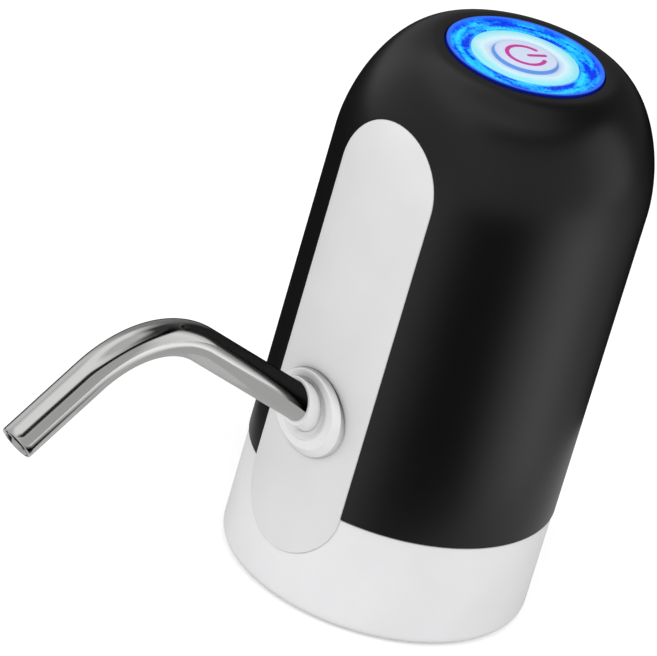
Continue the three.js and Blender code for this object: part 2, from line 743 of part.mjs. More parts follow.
// The hose runs level from the socket's back to the pump's front; its pieces are drawn along +Z,
// measured from the housing's axis, and laid along +Y at the hose's height
const slant = degrees(INLET_ANGLE);
const HOSE_Z = INLET_Z + SOCKET_BACK * Math.sin(slant);
const HOSE_BORE_R = BARB_R + BARB_TIP_PROUD + PRESS;
const HOSE_R = HOSE_BORE_R + HOSE_WALL;
const SOCKET_BACK_Y = -BODY_R - SOCKET_BACK * Math.cos(slant);
const HOSE_FRONT = SOCKET_BACK_Y + HOSE_R * Math.tan(slant) + FIT;
const HOSE_BACK = PUMP_Y - PUMP_R - FIT;
const HOSE_MIDDLE = (HOSE_FRONT + HOSE_BACK) / 2;

function alongHose(geometry) {
  return geometry.clone().rotateX(degrees(-90)).translate(0, 0, HOSE_Z);
}

function hoseBarb(start, tip) {
  const waist = tip + Math.sign(start - tip) * BARB_NOSE_L;
  return alongHose(turned([
    [0, start], [BARB_R, start], [BARB_R, waist], [BARB_R + BARB_TIP_PROUD, waist], [BARB_R, tip], [0, tip],
  ], SPOUT_SIDES));
}

function hoseChannel(from, to) {
  return alongHose(rod(BARB_R - BARB_WALL, from, to, ROUND));
}

function spoutSocket() {
  const rimR = COLLAR_R + COLLAR_RIM + FIT;
  const hollow = [[0, SOCKET_FLOOR], [TUBE_R + FIT, SOCKET_FLOOR]];
  for (const start of O_RING_STARTS.toReversed()) {
    const top = SOCKET_SEAT - start;
    const bottom = top - GROOVE_W;
    hollow.push([TUBE_R + FIT, bottom], [GROOVE_R, bottom], [GROOVE_R, top], [TUBE_R + FIT, top]);
  }
  hollow.push([TUBE_R + FIT, SOCKET_SEAT], [rimR, SOCKET_SEAT], [rimR, OVERRUN], [0, OVERRUN]);
  const cup = atInlet(rod(SOCKET_R, SOCKET_BACK, SOCKET_FACE, SPOUT_SIDES));
  const elbow = join(cup, hoseBarb(SOCKET_BACK_Y - BARB_R, HOSE_MIDDLE - FIT / 2));
  return cut(elbow, atInlet(turned(hollow, SPOUT_SIDES)), hoseChannel(SOCKET_BACK_Y - BARB_R, HOSE_MIDDLE));
}

function oRing(inner, thickness, bottom) {
  const points = [];
  for (let i = 0; i < O_RING_SIDES; i += 1) {
    const angle = 2 * Math.PI * i / O_RING_SIDES;
    const r = inner + thickness / 2 * (1 + Math.cos(angle));
    points.push([r, bottom + thickness / 2 * (1 + Math.sin(angle))]);
  }
  return turned(points, ROUND);
}

piece(housing, 'spout_socket', spoutSocket(), innerPlastic);
O_RING_STARTS.forEach((start, i) => {
  const seal = oRing(O_RING_R, O_RING_D, SOCKET_SEAT - start - FIT - O_RING_D);
  piece(inlet, `socket_o_ring_${i + 1}`, seal, darkRubber);
});

// Gear pump: body, cover, gasket, two meshing gears, pins and seals
const pump = group(housing, 0, PUMP_Y, 0);

function pumpEars(radius, bottom, top) {
  return [-1, 1].map((side) => moved(rod(radius, bottom, top, ROUND), side * EAR_X, 0, 0));
}

function pumpBody() {
  const hull = raised(longHole(GEAR_PITCH_R, PUMP_R), PUMP_Z, PUMP_TOP, COARSE);
  const barb = moved(hoseBarb(PUMP_Y - PUMP_R + PUMP_WALL / 2, HOSE_MIDDLE + FIT / 2), 0, -PUMP_Y, 0);
  const pocket = join(
    moved(rod(GEAR_POCKET_R, PUMP_Z - OVERRUN, POCKET_TOP), -GEAR_PITCH_R, 0, 0),
    moved(rod(GEAR_POCKET_R, PUMP_Z - OVERRUN, POCKET_TOP), GEAR_PITCH_R, 0, 0),
  );
  const ports = [-1, 1].map((side) => moved(
    rod(PORT_R, PUMP_Z - OVERRUN, PUMP_Z + PORT_POCKET_H, ROUND), 0, side * PORT_Y, 0));
  const outlet = moved(hoseChannel(HOSE_MIDDLE, PUMP_Y - PORT_Y), 0, -PUMP_Y, 0);
  const shaftHole = moved(rod(SHAFT_R + FIT, PUMP_Z, PUMP_TOP + OVERRUN, ROUND), -GEAR_PITCH_R, 0, 0);
  const bossRecess = moved(
    rod(MOTOR_BOSS_R + FIT, PUMP_TOP - MOTOR_BOSS_L, PUMP_TOP + OVERRUN, ROUND), -GEAR_PITCH_R, 0, 0);
  const sealRecess = moved(
    rod(SEAL_R + FIT, PUMP_TOP - MOTOR_BOSS_L - SEAL_H - FIT, PUMP_TOP, ROUND), -GEAR_PITCH_R, 0, 0);
  const pinHole = moved(rod(SHAFT_R + PRESS, PUMP_Z, POCKET_TOP + PUMP_ROOF / 2, ROUND), GEAR_PITCH_R, 0, 0);
  const screwHoles = pumpEars(PUMP_SCREW_R + PRESS, PUMP_Z - OVERRUN, COVER_Z + PUMP_SCREW_L + FIT);
  const body = join(hull, pumpEars(EAR_R, PUMP_Z, PUMP_TOP), barb);
  return cut(body, pocket, ports, outlet, shaftHole, bossRecess, sealRecess, pinHole, screwHoles);
}

function pumpCover() {
  const hull = raised(longHole(GEAR_PITCH_R, PUMP_R), COVER_Z, COVER_TOP, COARSE);
  const hub = moved(rod(PUMP_HUB_R, COVER_Z - PUMP_HUB_L, COVER_TOP, ROUND), 0, PORT_Y, 0);
  const body = join(hull, pumpEars(EAR_R, COVER_Z, COVER_TOP), hub);
  const spigotHole = moved(
    rod(NIPPLE_TOP_R + FIT, COVER_Z - PUMP_HUB_L - OVERRUN, COVER_Z + PUMP_COVER_T / 2, ROUND), 0, PORT_Y, 0);
  const port = moved(rod(PORT_R, COVER_Z, COVER_TOP + OVERRUN, ROUND), 0, PORT_Y, 0);
  const pinHole = moved(rod(SHAFT_R + PRESS, COVER_TOP - PUMP_COVER_T / 2, COVER_TOP + OVERRUN, ROUND),
    GEAR_PITCH_R, 0, 0);
  const screwHoles = pumpEars(PUMP_SCREW_R + FIT, COVER_Z - OVERRUN, COVER_TOP + OVERRUN);
  return cut(body, spigotHole, port, pinHole, screwHoles);
}

function pumpGasket() {
  const outer = raised(longHole(GEAR_PITCH_R, PUMP_R - GASKET_MARGIN), GASKET_Z, GASKET_Z + GASKET_T);
  const inner = longHole(GEAR_PITCH_R, PUMP_R - GASKET_MARGIN - GASKET_W);
  return cut(outer, raised(inner, GASKET_Z - OVERRUN, GASKET_Z + OVERRUN));
}

// Involute gear outline with one tooth centred on +X when the phase is zero
const GEAR_BASE_R = GEAR_PITCH_R * Math.cos(degrees(GEAR_PRESSURE_ANGLE));
const GEAR_ROOT_R = GEAR_PITCH_R - GEAR_DEDENDUM;
const involute = (angle) => Math.tan(angle) - angle;

function flankHalfAngle(r) {
  const pitchHalf = (Math.PI * GEAR_PITCH_D / GEAR_TEETH / 2 - GEAR_BACKLASH) / 2 / GEAR_PITCH_R;
  const pressure = r > GEAR_BASE_R ? Math.acos(GEAR_BASE_R / r) : 0;
  return pitchHalf + involute(degrees(GEAR_PRESSURE_ANGLE)) - involute(pressure);
}

function gear(phase, bore) {
  const shape = new THREE.Shape();
  const points = [];
  for (let tooth = 0; tooth < GEAR_TEETH; tooth += 1) {
    const middle = 2 * Math.PI * (tooth + phase) / GEAR_TEETH;
    const at = (r, angle) => points.push(new THREE.Vector2(r * Math.cos(angle), r * Math.sin(angle)));
    at(GEAR_ROOT_R, middle - flankHalfAngle(GEAR_BASE_R));
    for (let i = 0; i <= FLANK_STEPS; i += 1) {
      const r = GEAR_BASE_R + (GEAR_TIP_R - GEAR_BASE_R) * i / FLANK_STEPS;
      at(r, middle - flankHalfAngle(r));
    }
    for (let i = FLANK_STEPS; i >= 0; i -= 1) {
      const r = GEAR_BASE_R + (GEAR_TIP_R - GEAR_BASE_R) * i / FLANK_STEPS;
      at(r, middle + flankHalfAngle(r));
    }
    at(GEAR_ROOT_R, middle + flankHalfAngle(GEAR_BASE_R));
  }
  shape.setFromPoints(points);
  const hole = new THREE.Path();
  hole.absarc(0, 0, bore, 0, 2 * Math.PI, true);
  shape.holes.push(hole);
  return raised(shape, GEAR_Z, GEAR_Z + GEAR_FACE, COARSE);
}

const drive = group(pump, -GEAR_PITCH_R, 0, 0);
const idler = group(pump, GEAR_PITCH_R, 0, 0);
piece(pump, 'pump_body', pumpBody(), whitePlastic);
piece(pump, 'pump_cover', pumpCover(), whitePlastic);
piece(pump, 'pump_gasket', pumpGasket(), darkRubber);
piece(drive, 'drive_gear', gear(0, SHAFT_R + PRESS), gearPlastic);
piece(idler, 'idler_gear', gear(1 / 2, SHAFT_R + FIT), gearPlastic);
const pinBottom = COVER_TOP - PUMP_COVER_T / 2 + PRESS;
piece(idler, 'idler_pin', rod(SHAFT_R, pinBottom, POCKET_TOP + PUMP_ROOF / 2 - PRESS, ROUND), dullSteel);
const sealZ = PUMP_TOP - MOTOR_BOSS_L - SEAL_H - FIT / 2;
piece(drive, 'shaft_seal', ring(SHAFT_R + FIT, SEAL_R, sealZ, sealZ + SEAL_H, ROUND), darkRubber);

function screwWithHead(shankR, headR, headH, gripL) {
  return turned([[0, 0], [headR, 0], [headR, headH], [shankR, headH], [shankR, headH + gripL],
    [0, headH + gripL]], SMALL);
}

['left', 'right'].forEach((side, i) => {
  const length = PUMP_SCREW_L + FIT;
  const screw = screwWithHead(PUMP_SCREW_R, PUMP_SCREW_HEAD_R, PUMP_SCREW_HEAD_H, length);
  const mesh = piece(pump, `pump_screw_${side}`, screw, dullSteel);
  mesh.position.set((2 * i - 1) * EAR_X, 0, COVER_Z - FIT - PUMP_SCREW_HEAD_H);
});

// Motor: can, magnets, armature on its shaft, and the end cap with its two terminal blades
function motorCan() {
  const inner = MOTOR_R - MOTOR_CAN_WALL;
  const hole = SHAFT_R + FIT;
  return turned([
    [hole, MOTOR_Z - MOTOR_BOSS_L], [MOTOR_BOSS_R, MOTOR_Z - MOTOR_BOSS_L], [MOTOR_BOSS_R, MOTOR_Z],
    [MOTOR_R, MOTOR_Z], [MOTOR_R, MOTOR_TOP], [inner, MOTOR_TOP], [inner, MOTOR_Z + MOTOR_CAN_WALL],
    [hole, MOTOR_Z + MOTOR_CAN_WALL],
  ]);
}

const MAGNET_OUTER = MOTOR_R - MOTOR_CAN_WALL - PRESS;
const MAGNET_INNER = MAGNET_OUTER - MAGNET_T;
const ROTOR_R = MAGNET_INNER - AIR_GAP;
const MAGNET_Z = MOTOR_Z + MOTOR_CAN_WALL + MAGNET_START;
const ROTOR_Z = MOTOR_Z + MOTOR_CAN_WALL + ROTOR_START;

function magnet(side) {
  const middle = side > 0 ? 180 : 0;
  const shape = arcWall(MAGNET_INNER, MAGNET_OUTER, middle - MAGNET_ANGLE / 2, middle + MAGNET_ANGLE / 2);
  return raised(shape, MAGNET_Z, MAGNET_Z + MAGNET_L);
}

function armature() {
  const top = ROTOR_Z + ROTOR_L;
  const poles = [];
  for (let i = 0; i < ROTOR_POLES; i += 1) {
    const neck = block(ROTOR_R - POLE_TIP_T / 2, POLE_NECK, ROTOR_Z, top, (ROTOR_R - POLE_TIP_T / 2) / 2);
    const tip = raised(arcWall(ROTOR_R - POLE_TIP_T, ROTOR_R, -POLE_ANGLE / 2, POLE_ANGLE / 2), ROTOR_Z, top);
    poles.push(aboutZ(join(neck, tip), 360 * i / ROTOR_POLES));
  }
  const hub = rod(ROTOR_HUB_R, ROTOR_Z, top, ROUND);
  const commutator = rod(COMMUTATOR_R, top - ROTOR_HUB_R, top + COMMUTATOR_L, ROUND);
  return cut(join(hub, poles, commutator), rod(SHAFT_R + PRESS, ROTOR_Z - OVERRUN, top + OVERRUN, ROUND));
}

const END_CAP_Z = MOTOR_TOP + PRESS;

function endCap() {
  const plugR = MOTOR_R - MOTOR_CAN_WALL - PRESS;
  const bottom = END_CAP_Z - END_CAP_PLUG;
  const top = END_CAP_Z + END_CAP_T;
  const blades = [-1, 1].map((side) => block(
    TERMINAL_W, TERMINAL_T, top - END_CAP_T / 2, top + TERMINAL_H, side * TERMINAL_X));
  const cap = turned([
    [0, END_CAP_Z], [SHAFT_R + FIT, END_CAP_Z], [SHAFT_R + FIT, bottom], [ROTOR_HUB_R, bottom],
    [ROTOR_HUB_R, END_CAP_Z - END_CAP_WALL / 2], [plugR - END_CAP_WALL, END_CAP_Z - END_CAP_WALL / 2],
    [plugR - END_CAP_WALL, bottom], [plugR, bottom], [plugR, END_CAP_Z], [MOTOR_R, END_CAP_Z],
    [MOTOR_R, top], [0, top],
  ]);
  return join(cap, blades);
}

piece(drive, 'motor_can', motorCan(), dullSteel);
piece(drive, 'motor_end_cap', endCap(), chipPlastic);
piece(drive, 'motor_shaft', rod(SHAFT_R, GEAR_Z, END_CAP_Z - FIT, ROUND), polishedSteel);
piece(drive, 'motor_armature', armature(), copper);
['left', 'right'].forEach((side, i) => {
  piece(drive, `magnet_${side}`, magnet(i === 0 ? 1 : -1), magnetGrey);
});

// Delivery hose: a short sleeve that couples the pump's barb to the socket's barb
const hoseTube = ring(HOSE_BORE_R, HOSE_R, HOSE_FRONT, HOSE_BACK, SPOUT_SIDES);
piece(housing, 'delivery_hose', alongHose(hoseTube), clearHose);

// Inlet nipple: barbed below for the drop hose, with a spigot that seals in the pump's hub
function inletNipple() {
  const flangeTop = PLATE_BOTTOM - FIT;
  const flangeBottom = flangeTop - NIPPLE_FLANGE_T;
  const bottom = flangeBottom - NIPPLE_BARBS * NIPPLE_BARB_STEP - NIPPLE_BARB_STEP / 2;
  const top = COVER_Z + PUMP_COVER_T / 2 - FIT;
  const outline = [[NIPPLE_BORE_R, bottom]];
  for (let i = 0; i < NIPPLE_BARBS; i += 1) {
    const z = bottom + i * NIPPLE_BARB_STEP;
    const crest = z + NIPPLE_BARB_STEP * BARB_RAMP_SHARE;
    outline.push([NIPPLE_WAIST_R, z], [NIPPLE_BARB_R, crest], [NIPPLE_WAIST_R, crest]);
  }
  outline.push([NIPPLE_WAIST_R, flangeBottom], [NIPPLE_FLANGE_R, flangeBottom], [NIPPLE_FLANGE_R, flangeTop]);
  outline.push([NIPPLE_R, flangeTop], [NIPPLE_R, PLATE_TOP - FIT], [NIPPLE_TOP_R, PLATE_TOP - FIT]);
  outline.push([NIPPLE_TOP_R, top], [NIPPLE_BORE_R, top]);
  return turned(outline, ROUND);
}

piece(housing, 'inlet_nipple', inletNipple(), whitePlastic);
piece(housing, 'inlet_o_ring', oRing(NIPPLE_TOP_R + FIT, INLET_O_RING_D, PLATE_TOP + FIT), darkRubber);

// Neck seal: a soft ring at the top of the well that grips the bottle's mouth
function neckSeal() {
  const outer = WELL_R - FIT;
  const inner = outer - SEAL_RING_W;
  const top = PLATE_BOTTOM - FIT;
  const bottom = top - SEAL_RING_H;
  return turned([
    [inner, bottom], [outer, bottom], [outer, top], [inner - SEAL_LIP, top],
    [inner - SEAL_LIP, top - SEAL_LIP], [inner, top - 2 * SEAL_LIP],
  ], FINE);
}

piece(housing, 'neck_seal', neckSeal(), silicone);

// Carrier: one moulding that holds the pump, motor, cell, board and socket
const CARRIER_R = HOUSING_INNER_R - FIT - SPIGOT_WALL - CARRIER_MARGIN;

function boardRail(side) {
  const middle = BOARD_Y + BOARD_T / 2;
  const inner = BOARD_W / 2 + FIT - RAIL_SLOT;
  const railX = side * (inner + RAIL_W / 2);
  const post = block(RAIL_W, RAIL_DEPTH, CARRIER_Z, BOARD_BOTTOM + RAIL_H, railX, middle);
  const slot = block(2 * RAIL_SLOT, BOARD_T + 2 * FIT, BOARD_BOTTOM - FIT, BOARD_BOTTOM + RAIL_H + OVERRUN,
    side * inner, middle);
  return cut(post, slot);
}

function innerFrame() {
  const floor = rod(CARRIER_R, CARRIER_Z, CARRIER_TOP, HOUSING_SEGMENTS);
  const seatR = PUMP_R - PUMP_SEAT_INSET;
  const seat = cut(
    raised(longHole(GEAR_PITCH_R, seatR), CARRIER_Z, CARRIER_TOP + PUMP_SEAT_H),
    raised(longHole(GEAR_PITCH_R, seatR - PUMP_SEAT_W), CARRIER_Z - OVERRUN, CARRIER_TOP + OVERRUN),
  );
  const motorWall = arcWall(MOTOR_R + FIT, MOTOR_R + FIT + CRADLE_WALL, MOTOR_CRADLE_FROM, MOTOR_CRADLE_TO);
  const motorCradle = raised(motorWall, CARRIER_Z, CARRIER_TOP + MOTOR_CRADLE_H);
  const cupR = CELL_R + FIT + CRADLE_WALL;
  const cellWall = arcWall(CELL_R + FIT, cupR, CELL_CRADLE_FROM, CELL_CRADLE_TO);
  const cellCradle = raised(cellWall, CARRIER_Z, CUP_TOP + (CELL_TOP - CUP_TOP) * CELL_CRADLE_SHARE);
  const cup = rod(cupR, CUP_TOP - CELL_CUP_T, CUP_TOP);
  const saddle = block(SADDLE_W, SADDLE_L, CARRIER_Z, INLET_Z - SADDLE_DROP, 0, SADDLE_SETBACK - BODY_R);
  const inletHole = rod(PUMP_HUB_R + 2 * FIT, CARRIER_Z - OVERRUN, COVER_Z + OVERRUN, ROUND);
  const screwHoles = SCREW_AZIMUTHS.map((azimuth) => atAzimuth(
    rod(SCREW_R + FIT, CARRIER_Z - OVERRUN, CARRIER_TOP + OVERRUN / 2, COARSE), SCREW_CIRCLE_R, azimuth));
  const body = join(
    floor, moved(seat, 0, PUMP_Y, 0), moved(motorCradle, -GEAR_PITCH_R, PUMP_Y, 0),
    moved(join(cellCradle, cup), CELL_X, CELL_Y, 0), saddle, boardRail(-1), boardRail(1),
  );
  return cut(body, inletHole, screwHoles, atInlet(rod(SOCKET_R + FIT, SOCKET_BACK - OVERRUN, 0)));
}

piece(housing, 'inner_frame', innerFrame(), innerPlastic);

// Base screws, put in from the well
SCREW_AZIMUTHS.forEach((azimuth, i) => {
  const length = CARRIER_TOP + SCREW_GRIP - PLATE_BOTTOM + FIT;
  const screw = screwWithHead(SCREW_R, SCREW_HEAD_R, SCREW_HEAD_H, length);
  const mesh = piece(housing, `base_screw_${i + 1}`, screw, dullSteel);
  const angle = degrees(azimuth);
  const z = PLATE_BOTTOM - FIT - SCREW_HEAD_H;
  mesh.position.set(SCREW_CIRCLE_R * Math.cos(angle), SCREW_CIRCLE_R * Math.sin(angle), z);
});

// Battery cell with its two welded tabs
const cell = group(housing, CELL_X, CELL_Y, 0);

function batteryCell() {
  const crimp = CELL_TOP - CELL_CRIMP_DOWN;
  return turned([
    [0, CELL_Z], [CELL_R, CELL_Z], [CELL_R, crimp - CELL_CRIMP], [CELL_R - CELL_CRIMP, crimp],
    [CELL_R, crimp + CELL_CRIMP], [CELL_R, CELL_TOP], [CELL_NUB_R, CELL_TOP],
    [CELL_NUB_R, CELL_TOP + CELL_NUB_H], [0, CELL_TOP + CELL_NUB_H],
  ]);
}

function cellTab(bottom, azimuth) {
  return aboutZ(block(TAB_L, TAB_W, bottom, bottom + TAB_T, TAB_L / 2 - TAB_W / 2), azimuth);
}

piece(cell, 'battery_cell', batteryCell(), cellSleeve);
piece(cell, 'battery_tab_bottom', cellTab(CUP_TOP + FIT, TAB_BOTTOM_AZIMUTH), nickel);
piece(cell, 'battery_tab_top', cellTab(CELL_TOP + CELL_NUB_H + FIT, TAB_TOP_AZIMUTH), nickel);

// Main board with its parts and the charging socket, which faces the port at the back
const boardFront = BOARD_Y - FIT;
const board = block(BOARD_W, BOARD_T, BOARD_BOTTOM, BOARD_BOTTOM + BOARD_H, 0, BOARD_Y + BOARD_T / 2);
const chip = block(CHIP_W, CHIP_T, CHIP_Z, CHIP_Z + CHIP_H, -COIL_X, boardFront - CHIP_T / 2);
const coil = rod(COIL_R, 0, COIL_T, ROUND).rotateX(degrees(90));
coil.translate(-COIL_X, boardFront, COIL_Z);
piece(housing, 'main_board', board, greenBoard);
piece(housing, 'charge_chip', chip, chipPlastic);
piece(housing, 'power_coil', coil, chipPlastic);

function roundedBox(width, height, corner) {
  const shape = new THREE.Shape();
  const x = width / 2 - corner;
  const z = height / 2 - corner;
  shape.absarc(x, -z, corner, -Math.PI / 2, 0);
  shape.absarc(x, z, corner, 0, Math.PI / 2);
  shape.absarc(-x, z, corner, Math.PI / 2, Math.PI);
  shape.absarc(-x, -z, corner, Math.PI, 3 * Math.PI / 2);
  return shape;
}

function usbSocket(back) {
  const outer = pushed(roundedBox(USB_W, USB_H, USB_CORNER), back, back + USB_L);
  const hollow = roundedBox(USB_W - 2 * USB_WALL, USB_H - 2 * USB_WALL, USB_CORNER - USB_WALL);
  return moved(cut(outer, pushed(hollow, back + USB_BACK_T, back + USB_L + OVERRUN)), 0, 0, USB_Z);
}

function usbTongue(back) {
  const start = back + USB_BACK_T + FIT;
  const length = back + USB_L - USB_TONGUE_RECESS - start;
  const [bottom, top] = [USB_Z - USB_TONGUE_T / 2, USB_Z + USB_TONGUE_T / 2];
  return block(USB_TONGUE_W, length, bottom, top, 0, start + length / 2);
}

const usbBack = BOARD_Y + BOARD_T + FIT;
piece(housing, 'usb_socket', usbSocket(usbBack), dullSteel);
piece(housing, 'usb_tongue', usbTongue(usbBack), chipPlastic);

// Light ring: clear moulding with a shallow channel, held from inside by the board holder
function lightRing() {
  const bore = CAP_R + CAP_RIM + FIT;
  const ledge = CAP_RIM_TOP + FIT;
  const floor = BODY_H - RING_CHANNEL_D;
  return turned([
    [bore, RING_Z], [RING_R + RING_FLANGE, RING_Z], [RING_R + RING_FLANGE, RING_LEDGE_Z],
    [RING_R, RING_LEDGE_Z], [RING_R, BODY_H], [RING_R - RING_RIM_W, BODY_H], [RING_R - RING_RIM_W, floor],
    [RING_INNER_R, floor], [RING_INNER_R, ledge], [bore, ledge],
  ], RING_SEGMENTS);
}

// Button cap: a skirted disc with a raised pad and a stem; its rim is trapped under the ring
function buttonCap() {
  const bottom = CAP_TOP - CAP_SKIRT_L;
  const underside = CAP_TOP - CAP_T;
  return turned([
    [0, STEM_Z], [CAP_STEM_R, STEM_Z], [CAP_STEM_R, underside], [CAP_R - CAP_SKIRT_T, underside],
    [CAP_R - CAP_SKIRT_T, bottom], [CAP_R + CAP_RIM, bottom], [CAP_R + CAP_RIM, CAP_RIM_TOP],
    [CAP_R, CAP_RIM_TOP], [CAP_R, CAP_TOP], [CAP_PAD_R + CAP_PAD_EDGE, CAP_TOP],
    [CAP_PAD_R, CAP_TOP + CAP_PAD_H], [0, CAP_TOP + CAP_PAD_H],
  ], RING_SEGMENTS);
}

function switchBody() {
  const body = block(SWITCH_W, SWITCH_W, SWITCH_Z, SWITCH_TOP);
  return cut(body, rod(PLUNGER_R + FIT, SWITCH_TOP - SWITCH_WELL, SWITCH_TOP + OVERRUN, ROUND));
}

// Board holder: a cup screwed to two bosses inside the dome, which traps board and ring
function boardHolder() {
  const inner = LIGHT_BOARD_R + FIT;
  const cup = turned([
    [HOLDER_BORE_R, HOLDER_Z], [inner + HOLDER_WALL, HOLDER_Z], [inner + HOLDER_WALL, RING_Z - FIT],
    [inner, RING_Z - FIT], [inner, HOLDER_TOP], [HOLDER_BORE_R, HOLDER_TOP],
  ], FINE);
  const ears = cut(
    raised(longHole(HOLDER_EAR_X, HOLDER_BOSS_R), HOLDER_Z, HOLDER_TOP),
    rod(LIGHT_BOARD_R, HOLDER_Z - OVERRUN, HOLDER_TOP + OVERRUN),
  );
  const holes = [-1, 1].map((side) => moved(
    rod(HOLDER_SCREW_R + FIT, HOLDER_Z - OVERRUN, HOLDER_TOP + OVERRUN, COARSE), side * HOLDER_EAR_X, 0, 0));
  return cut(join(cup, ears), holes);
}

piece(housing, 'light_ring', lightRing(), ringPlastic);
piece(housing, 'button_cap', buttonCap(), buttonPlastic);
piece(housing, 'switch_plunger', rod(PLUNGER_R, PLUNGER_Z, PLUNGER_TOP, ROUND), chipPlastic);
piece(housing, 'push_switch', switchBody(), chipPlastic);
piece(housing, 'light_board', rod(LIGHT_BOARD_R, LIGHT_BOARD_Z, LIGHT_BOARD_TOP), greenBoard);
piece(housing, 'board_holder', boardHolder(), innerPlastic);

for (let i = 0; i < LED_COUNT; i += 1) {
  const led = piece(housing, `led_${i + 1}`, block(LED_W, LED_L, 0, LED_T, LED_CIRCLE_R), ledLens);
  led.position.z = LIGHT_BOARD_TOP + FIT;
  led.rotation.z = 2 * Math.PI * (i + 1 / 2) / LED_COUNT;
}

['left', 'right'].forEach((side, i) => {
  const length = HOLDER_T + FIT + HOLDER_SCREW_GRIP;
  const screw = screwWithHead(HOLDER_SCREW_R, HOLDER_SCREW_HEAD_R, HOLDER_SCREW_HEAD_H, length);
  const mesh = piece(housing, `holder_screw_${side}`, screw, dullSteel);
  mesh.position.set((2 * i - 1) * HOLDER_EAR_X, 0, HOLDER_Z - FIT - HOLDER_SCREW_HEAD_H);
});

// Leads inside the housing, each along its own route between two soldered ends
function lead(name, route, material) {
  const points = [];
  for (let i = 0; i < WIRE_SIDES; i += 1) {
    const angle = 2 * Math.PI * i / WIRE_SIDES;
    points.push(new THREE.Vector2(WIRE_R * Math.cos(angle), WIRE_R * Math.sin(angle)));
  }
  const section = new THREE.Shape(points);
  const extrudePath = new THREE.CatmullRomCurve3(route.map((point) => new THREE.Vector3(...point)));
  const solid = new THREE.ExtrudeGeometry(section, { steps: WIRE_STEPS, extrudePath });
  piece(housing, name, closed(solid), material);
}

lead('motor_lead_red', MOTOR_RED_ROUTE, redWire);
lead('motor_lead_black', MOTOR_BLACK_ROUTE, blackWire);
lead('battery_lead_red', CELL_RED_ROUTE, redWire);
lead('battery_lead_black', CELL_BLACK_ROUTE, blackWire);
lead('button_lead', BUTTON_ROUTE, blueWire);

// The housing's axis stands back so that the part's own box is centred on the origin
const turn = degrees(INLET_ANGLE + DROP_ANGLE);
const tipAcross = BEND_R * (1 - Math.cos(turn)) + DROP_L * Math.sin(turn);
const tipAlong = RISE_L + BEND_R * Math.sin(turn) + DROP_L * Math.cos(turn);
const tipReach = tipAcross * Math.sin(degrees(INLET_ANGLE)) + tipAlong * Math.cos(degrees(INLET_ANGLE));
const frontReach = BODY_R + tipReach + TUBE_R * Math.sin(degrees(DROP_ANGLE));
housing.position.y = (frontReach - BODY_R) / 2;

export default root;
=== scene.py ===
import math

import bmesh
import bpy
from mathutils import Matrix, Vector


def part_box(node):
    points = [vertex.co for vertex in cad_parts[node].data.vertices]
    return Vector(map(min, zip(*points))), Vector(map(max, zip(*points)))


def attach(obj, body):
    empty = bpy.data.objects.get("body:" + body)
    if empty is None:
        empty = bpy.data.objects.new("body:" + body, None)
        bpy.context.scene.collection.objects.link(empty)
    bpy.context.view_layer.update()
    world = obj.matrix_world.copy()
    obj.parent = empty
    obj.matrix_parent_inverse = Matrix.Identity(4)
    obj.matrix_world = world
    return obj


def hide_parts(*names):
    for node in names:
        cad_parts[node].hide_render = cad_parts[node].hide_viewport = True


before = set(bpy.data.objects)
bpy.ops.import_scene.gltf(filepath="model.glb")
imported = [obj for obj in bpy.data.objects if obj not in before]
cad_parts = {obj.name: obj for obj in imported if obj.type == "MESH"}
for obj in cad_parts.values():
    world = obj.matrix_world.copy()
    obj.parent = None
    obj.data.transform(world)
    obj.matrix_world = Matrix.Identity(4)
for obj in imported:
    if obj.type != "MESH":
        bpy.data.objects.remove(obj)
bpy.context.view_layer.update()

scene = bpy.context.scene
scene.view_settings.view_transform = "Standard"


# Camera. A long lens about 1.6 m away, turned about its own axis, so that the upright pump
# leans to the right in the picture as it does in the photograph.
CAMERA_PLACE = Vector((0.91980, -1.06786, 0.78188))
CAMERA_AIM = Vector((-0.01743, 0.02868, 0.05788))
CAMERA_ROLL = math.radians(16.354)
CAMERA_LENS = 378.74

camera_data = bpy.data.cameras.new("camera")
camera_data.lens = CAMERA_LENS
camera_data.sensor_width = 36.0
camera_data.clip_end = 30.0
camera = bpy.data.objects.new("camera", camera_data)
scene.collection.objects.link(camera)
camera.location = CAMERA_PLACE
turn = (CAMERA_PLACE - CAMERA_AIM).to_track_quat("Z", "Y").to_matrix()
camera.rotation_euler = (turn @ Matrix.Rotation(CAMERA_ROLL, 3, "Z")).to_euler()
scene.camera = camera


# Studio. A pale floor that runs on into a white surround, which the metal and the gloss also
# mirror, with soft lights on the right, on the left, from above and in front.
FLOOR_HALF = 4.0
FLOOR_Z = -0.0002
FLOOR_GREY = 0.86
FLOOR_LIFT = 0.30
SURROUND_SEEN = 1.0
SURROUND_LIGHT = 0.86
AXIS_Y = 0.0479562


def new_material(name):
    material = bpy.data.materials.new(name)
    material.use_nodes = True
    material.node_tree.nodes.clear()
    return material, material.node_tree


def add(tree, kind, inputs=(), **settings):
    """A shader node. An input takes a value, a socket, or the first open output of a node."""
    made = tree.nodes.new("ShaderNode" + kind)
    for name, value in settings.items():
        setattr(made, name, value)
    for name, value in dict(inputs).items():
        if isinstance(value, bpy.types.Node):
            value = next(out for out in value.outputs if out.enabled)
        if isinstance(value, bpy.types.NodeSocket):
            tree.links.new(value, made.inputs[name])
        else:
            made.inputs[name].default_value = value
    return made


def ended(tree, shader):
    add(tree, "OutputMaterial", {"Surface": shader})


def grey(level):
    return (level, level, level, 1)


def seen_rays(tree):
    """1 for what the camera, gloss and glass see, and 0 for the light that falls on the pump."""
    path = add(tree, "LightPath").outputs
    mirrored = add(tree, "Math", {0: path["Is Camera Ray"], 1: path["Is Glossy Ray"]},
                   operation="MAXIMUM")
    return add(tree, "Math", {0: mirrored, 1: path["Is Transmission Ray"]}, operation="MAXIMUM")


